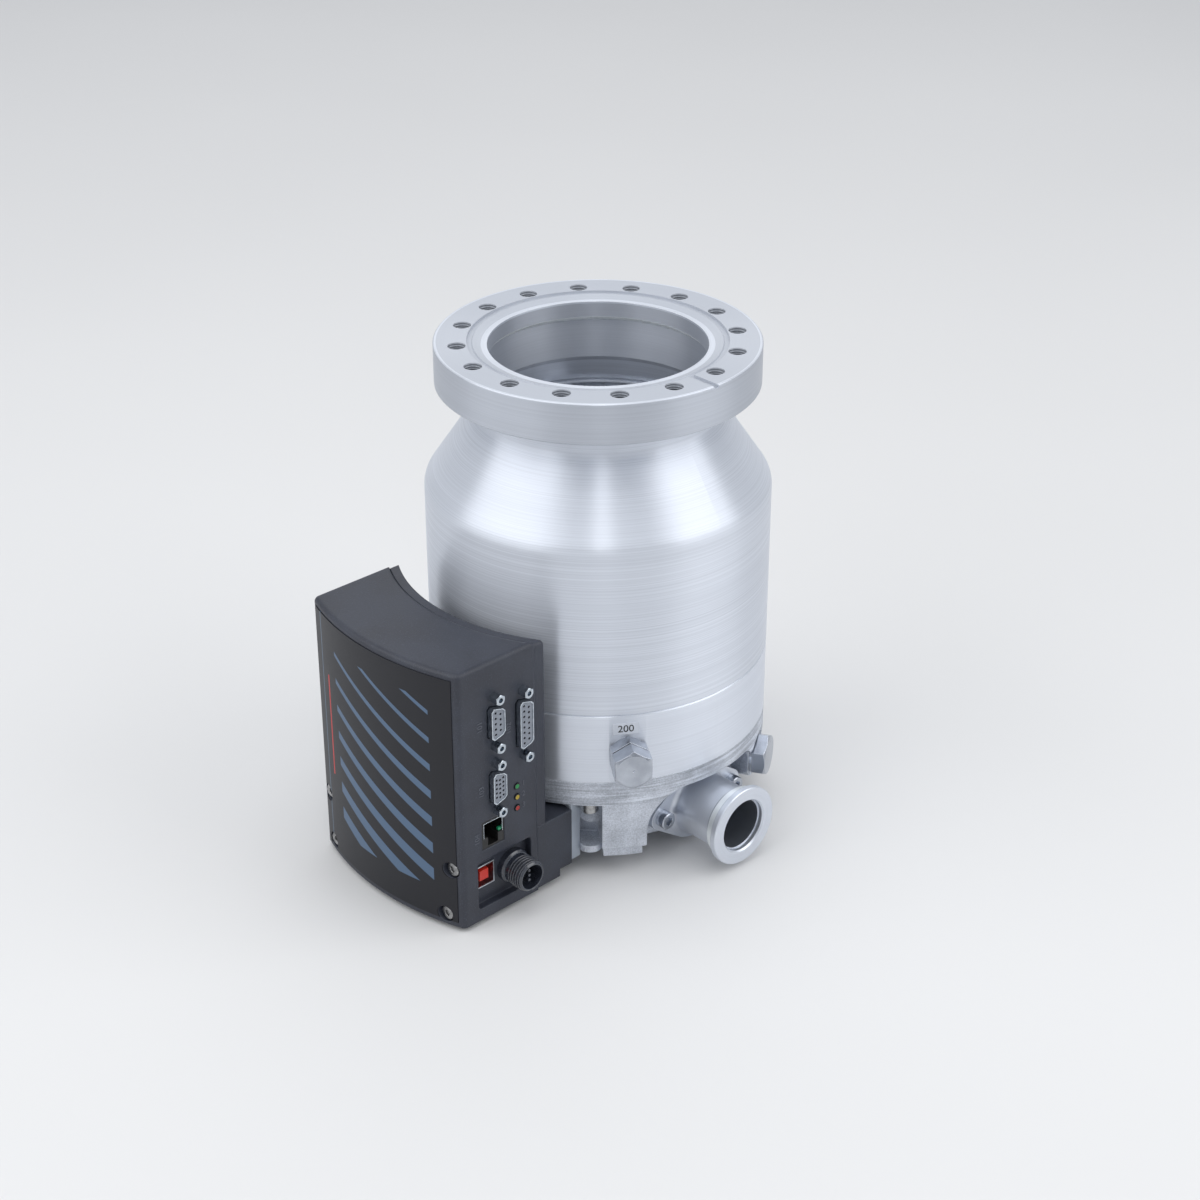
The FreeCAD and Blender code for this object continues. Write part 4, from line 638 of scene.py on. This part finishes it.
# One copy of a shape on every point of the base mesh
def copies(tree, given, shape):
    sockets = {"Points": given["Geometry"], "Instance": shape}
    return tree.node("GeometryNodeInstanceOnPoints", {}, sockets).outputs[0]


def contactPlaces():
    places = []
    for socket in contactSockets:
        rows = socket["rows"]
        for r, count in enumerate(rows):
            across = socket["across"] + socket["rowStep"] * ((len(rows) - 1) / 2 - r)
            shift = contactLook["stagger"] * socket["pitch"] * (r % 2) if len(rows) == 3 else 0
            for k in range(count):
                up = socket["up"] + (k - (count - 1) / 2) * socket["pitch"] - shift
                places.append((insulatorFace - contactLook["sunk"], panelBack - across, panelFoot + up))
    return places


def roundContacts(tree, given):
    pin = tree.node("GeometryNodeMeshCylinder", {"fill_type": "NGON"}, {
        "Vertices": contactLook["sides"], "Radius": given["Radius"],
        "Depth": given["Length"]}).outputs["Mesh"]
    pin = tree.node("GeometryNodeTransform", {}, {0: pin, "Rotation": quarterTurn}).outputs[0]
    return copies(tree, given, pin)


contactSizes = {"Radius": contactLook["radius"], "Length": contactLook["length"]}
contactPoints = pointMesh("contactPlaces", contactPlaces())
place("contact_pins", grown("contactPins", contactPoints, contactSizes, "gold", roundContacts), "gold")

# Contact springs and a small lamp in the network jack, with a thin metal frame round its mouth; deep is
# measured inwards from the face of the jack, and down from its top
jackLook = {"wall": 0.00095, "sill": 0.0057}
springLook = {"count": 8, "pitch": 0.00102, "wide": 0.00045, "thick": 0.0002, "long": 0.0062, "fall": -0.42,
              "deep": 0.0048, "down": 0.0031}
linerLook = {"wall": 0.00028, "deep": 0.0014, "proud": 0.00025}
lampLook = {"wide": 0.0017, "high": 0.0016, "long": 0.0015, "deep": 0.0004, "above": 0.0001, "bevel": 0.0002}
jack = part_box("network_jack")


def springs(tree, given):
    size = tree.wire("ShaderNodeCombineXYZ", {}, {0: given["Long"], 1: given["Wide"], 2: given["Thick"]})
    bar = tree.node("GeometryNodeMeshCube", {}, {"Size": size}).outputs[0]
    lean = tree.wire("ShaderNodeCombineXYZ", {}, {1: given["Fall"]})
    bar = tree.node("GeometryNodeTransform", {}, {0: bar, "Rotation": lean}).outputs[0]
    return copies(tree, given, bar)


def springPlaces():
    x, z = jack[1].x - springLook["deep"], jack[1].z - springLook["down"]
    middle = (jack[0].y + jack[1].y) / 2
    steps = [k - (springLook["count"] - 1) / 2 for k in range(springLook["count"])]
    return [(x, middle + step * springLook["pitch"], z) for step in steps]


springSizes = {"Long": springLook["long"], "Wide": springLook["wide"], "Thick": springLook["thick"],
               "Fall": springLook["fall"]}
springPoints = pointMesh("springPlaces", springPlaces())
place("jack_springs", grown("jackSprings", springPoints, springSizes, "gold", springs), "gold")


# Boxes from lists of low and high corners, joined in one mesh
def boxMesh(name, boxes, bevel=0.0):
    made = bmesh.new()
    for low, high in boxes:
        size = Vector(high) - Vector(low)
        middle = (Vector(high) + Vector(low)) / 2
        bmesh.ops.create_cube(made, size=1, matrix=Matrix.Translation(middle) @ Matrix.Diagonal(size.to_4d()))
    if bevel:
        bmesh.ops.bevel(made, geom=made.edges[:], offset=bevel, segments=2, affect="EDGES", profile=0.5)
    mesh = bpy.data.meshes.new(name)
    made.to_mesh(mesh)
    made.free()
    return mesh


# Two sides and the top of a frame round the mouth of the jack
def linerBoxes(low, high):
    wall = linerLook["wall"]
    back, front = jack[1].x - linerLook["deep"], jack[1].x + linerLook["proud"]
    return [((back, low.y, low.z), (front, low.y + wall, high.z)),
            ((back, high.y - wall, low.z), (front, high.y, high.z)),
            ((back, low.y + wall, high.z - wall), (front, high.y - wall, high.z))]


mouthLow = jack[0] + Vector((0, jackLook["wall"], jackLook["sill"]))
mouthHigh = jack[1] - Vector((0, jackLook["wall"], jackLook["wall"]))
place("jack_liner", boxMesh("jackLiner", linerBoxes(mouthLow, mouthHigh)), "nickel")
lampHigh = Vector((jack[1].x - lampLook["deep"], mouthHigh.y - linerLook["wall"],
                   mouthLow.z + lampLook["above"] + lampLook["high"]))
lampLow = lampHigh - Vector((lampLook["long"], lampLook["wide"], lampLook["high"]))
place("jack_lamp", boxMesh("jackLamp", [(lampLow, lampHigh)], lampLook["bevel"]), "link_light")

# Thread on the barrel of the power socket
threadLook = {"turns": 5.0, "pitch": 0.0016, "ridge": 0.0006, "fromEnd": 0.0008, "inset": 0.0011, "steps": 40,
              "corners": 4}
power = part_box("power_socket")
powerRing = (power[1].y - power[0].y) / 2


def helix(tree, given):
    height = Wire(tree, given["Turns"]) * given["Pitch"]
    line = tree.node("GeometryNodeCurveSpiral", {}, {
        "Resolution": threadLook["steps"], "Rotations": given["Turns"], "Start Radius": given["Radius"],
        "End Radius": given["Radius"], "Height": height}).outputs[0]
    section = tree.node("GeometryNodeCurvePrimitiveCircle", {}, {
        "Resolution": threadLook["corners"], "Radius": given["Ridge"]}).outputs["Curve"]
    ridge = tree.node("GeometryNodeCurveToMesh", {}, {
        "Curve": line, "Profile Curve": section, "Fill Caps": True}).outputs[0]
    start = (power[1].x - threadLook["turns"] * threadLook["pitch"] - threadLook["fromEnd"],
             (power[1].y + power[0].y) / 2, (power[1].z + power[0].z) / 2)
    return tree.node("GeometryNodeTransform", {}, {
        0: ridge, "Rotation": quarterTurn, "Translation": start}).outputs[0]


threadSizes = {"Turns": threadLook["turns"], "Pitch": threadLook["pitch"],
               "Radius": powerRing - threadLook["inset"], "Ridge": threadLook["ridge"]}
threadStart = pointMesh("threadStart", [(0, 0, 0)])
place("socket_thread", grown("socketThread", threadStart, threadSizes, "glossy_black", helix), "glossy_black")
print("details of the sockets placed")

# Label plate on the flat above the vent plug
labelLook = {"angle": math.radians(-33.7), "flatAt": 0.08155, "wide": 0.0124, "high": 0.006, "thick": 0.00018,
             "sunk": 0.0001, "below": 0.0042, "aside": -0.0009, "bevel": 0.00006}
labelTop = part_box("lower_ring")[1].z - labelLook["below"]
labelTurn = Matrix.Rotation(labelLook["angle"], 4, "Z")
labelLow = (labelLook["flatAt"] - labelLook["sunk"], labelLook["aside"] - labelLook["wide"] / 2,
            labelTop - labelLook["high"])
labelHigh = (labelLook["flatAt"] + labelLook["thick"], labelLook["aside"] + labelLook["wide"] / 2, labelTop)
label = boxMesh("ventLabel", [(labelLow, labelHigh)], labelLook["bevel"])
label.transform(labelTurn)
place("vent_label", label, "label_film")

# Raised plain numbers on the side panel, lighter than the panel as painted highlight: those beside the
# sockets read upwards, those beside the lights lie level; across is from the panel's back edge, up from its
# foot
numberLook = {"size": 0.0040, "raised": 0.0002, "curveSteps": 4, "weld": 0.000001}
labelNumber = {"text": "200", "size": 0.0052, "raised": 0.00008}
numberPlaces = [
    {"text": "101", "across": 33.0 * mm, "up": 104.1 * mm, "upwards": True},
    {"text": "102", "across": 16.2 * mm, "up": 96.7 * mm, "upwards": True},
    {"text": "103", "across": 33.0 * mm, "up": 70.1 * mm, "upwards": True},
    {"text": "104", "across": 36.4 * mm, "up": 46.0 * mm, "upwards": True},
    {"text": "1", "across": 8.2 * mm, "up": 64.2 * mm, "upwards": False},
    {"text": "2", "across": 8.2 * mm, "up": 58.5 * mm, "upwards": False},
    {"text": "3", "across": 8.2 * mm, "up": 52.5 * mm, "upwards": False},
]
upwardsRows = ((0, 0, 1), (0, -1, 0), (1, 0, 0))  # text that runs towards +Z on a face towards +X
levelRows = ((0, 0, 1), (1, 0, 0), (0, 1, 0))  # text that runs towards +Y on such a face


# One number as a mesh whose middle stands at a place on a face towards +X
def numberMesh(text, size, raised, middle, rows):
    curve = bpy.data.curves.new("number" + text, "FONT")
    curve.body = text
    curve.size = size
    curve.extrude = raised
    curve.resolution_u = numberLook["curveSteps"]
    curve.align_x = "CENTER"
    curve.align_y = "CENTER"
    holder = bpy.data.objects.new("number" + text, curve)
    bpy.context.scene.collection.objects.link(holder)
    mesh = bpy.data.meshes.new_from_object(holder.evaluated_get(bpy.context.evaluated_depsgraph_get()))
    bpy.data.objects.remove(holder)
    mesh.transform(Matrix.Translation(middle) @ Matrix(rows).to_4x4())
    return mesh


numbers = bmesh.new()
for number in numberPlaces:
    middle = Vector((cover[1].x, panelBack - number["across"], panelFoot + number["up"]))
    rows = upwardsRows if number["upwards"] else levelRows
    numbers.from_mesh(numberMesh(number["text"], numberLook["size"], numberLook["raised"], middle, rows))
bmesh.ops.remove_doubles(numbers, verts=numbers.verts, dist=numberLook["weld"])
panelNumbers = bpy.data.meshes.new("panelNumbers")
numbers.to_mesh(panelNumbers)
numbers.free()
place("panel_numbers", panelNumbers, "raised_number")

# Plain number printed on the label of the vent
middle = Vector((labelHigh[0], labelLook["aside"], labelTop - labelLook["high"] / 2))
labelPrint = numberMesh(labelNumber["text"], labelNumber["size"], labelNumber["raised"], middle, levelRows)
labelPrint.transform(labelTurn)
place("label_number", labelPrint, "socket_black")
print("numbers and the label of the vent placed")


# Floor, lamps and camera
floorLook = {"size": 16.0, "dark": grey(220), "light": grey(226), "cloud": 0.5, "roughness": 0.6,
             "scatter": 0.05, "shine": 0.2}


def makeFloor():
    half = floorLook["size"] / 2
    low = cadBox[0].z
    mesh = bpy.data.meshes.new("floor")
    corners = [(-half, -half, low), (half, -half, low), (half, half, low), (-half, half, low)]
    mesh.from_pydata(corners, [], [(0, 1, 2, 3)])
    finish = Finish("floorFinish", Specular_IOR_Level=floorLook["shine"])
    cloud = finish.noise(floorLook["cloud"])
    finish.set("Base Color", finish.mix(cloud, floorLook["dark"], floorLook["light"]))
    finish.set("Roughness", floorLook["roughness"] + (cloud - 0.5) * floorLook["scatter"])
    mesh.materials.append(finish.material)
    floor = bpy.data.objects.new("floor", mesh)
    bpy.context.scene.collection.objects.link(floor)


# Way from a target to a place that is seen in a direction; azimuth 0 is towards -Y and 90 towards +X
def direction(azimuth, elevation):
    a, e = math.radians(azimuth), math.radians(elevation)
    return Vector((math.sin(a) * math.cos(e), -math.cos(a) * math.cos(e), math.sin(e)))


def aimed(eye, target):
    return Matrix.Translation(eye) @ (target - eye).to_track_quat("-Z", "Y").to_matrix().to_4x4()


lampTarget = Vector((0, 0, -0.12))


# Softbox by its direction from the object, its size in metres and how bright it looks
def softbox(name, azimuth, elevation, distance, wide, high, glow):
    lamp = bpy.data.lights.new(name, "AREA")
    lamp.shape = "RECTANGLE"
    lamp.size = wide
    lamp.size_y = high
    lamp.energy = glow * math.pi * wide * high
    holder = bpy.data.objects.new(name, lamp)
    holder.matrix_world = aimed(lampTarget + distance * direction(azimuth, elevation), lampTarget)
    bpy.context.scene.collection.objects.link(holder)


lamps = {
    "leftBox": {"azimuth": -20, "elevation": 36, "distance": 1.7, "wide": 1.9, "high": 1.4, "glow": 1.6},
    "rightBox": {"azimuth": 122, "elevation": 34, "distance": 1.7, "wide": 1.45, "high": 1.4, "glow": 1.75},
    "frontBox": {"azimuth": 50, "elevation": 46, "distance": 1.7, "wide": 0.22, "high": 1.2, "glow": 2.4},
    "topBox": {"azimuth": 46, "elevation": 84, "distance": 1.5, "wide": 1.0, "high": 1.0, "glow": 1.6},
    "backBox": {"azimuth": 226, "elevation": 32, "distance": 1.9, "wide": 2.4, "high": 1.0, "glow": 0.62},
}
worldShade = {"colour": screen(207, 210, 215), "strength": 0.82}

cameraLook = {"azimuth": 46.62, "elevation": 28.46, "distance": 1.15, "focalPixels": 2367,
              "framePixels": 1200, "sensor": 36, "near": 0.05, "far": 20,
              "aside": 0.9 * mm, "height": -136.6 * mm}


def makeWorld():
    world = bpy.data.worlds.new("studio")
    world.use_nodes = True
    shade = world.node_tree.nodes["Background"]
    shade.inputs[0].default_value = worldShade["colour"]
    shade.inputs[1].default_value = worldShade["strength"]
    bpy.context.scene.world = world


def makeCamera():
    a = math.radians(cameraLook["azimuth"])
    aside = cameraLook["aside"]
    target = Vector((aside * math.cos(a), aside * math.sin(a), cameraLook["height"]))
    back = direction(cameraLook["azimuth"], cameraLook["elevation"])
    data = bpy.data.cameras.new("camera")
    data.sensor_width = cameraLook["sensor"]
    data.lens = cameraLook["focalPixels"] / cameraLook["framePixels"] * cameraLook["sensor"]
    data.clip_start = cameraLook["near"]
    data.clip_end = cameraLook["far"]
    camera = bpy.data.objects.new("camera", data)
    camera.matrix_world = aimed(target + back * cameraLook["distance"], target)
    bpy.context.scene.collection.objects.link(camera)
    bpy.context.scene.camera = camera


makeFloor()
for name, lamp in lamps.items():
    softbox(name, **lamp)
makeWorld()
makeCamera()
bpy.context.scene.view_settings.view_transform = "Standard"
print("floor, lamps and camera placed")
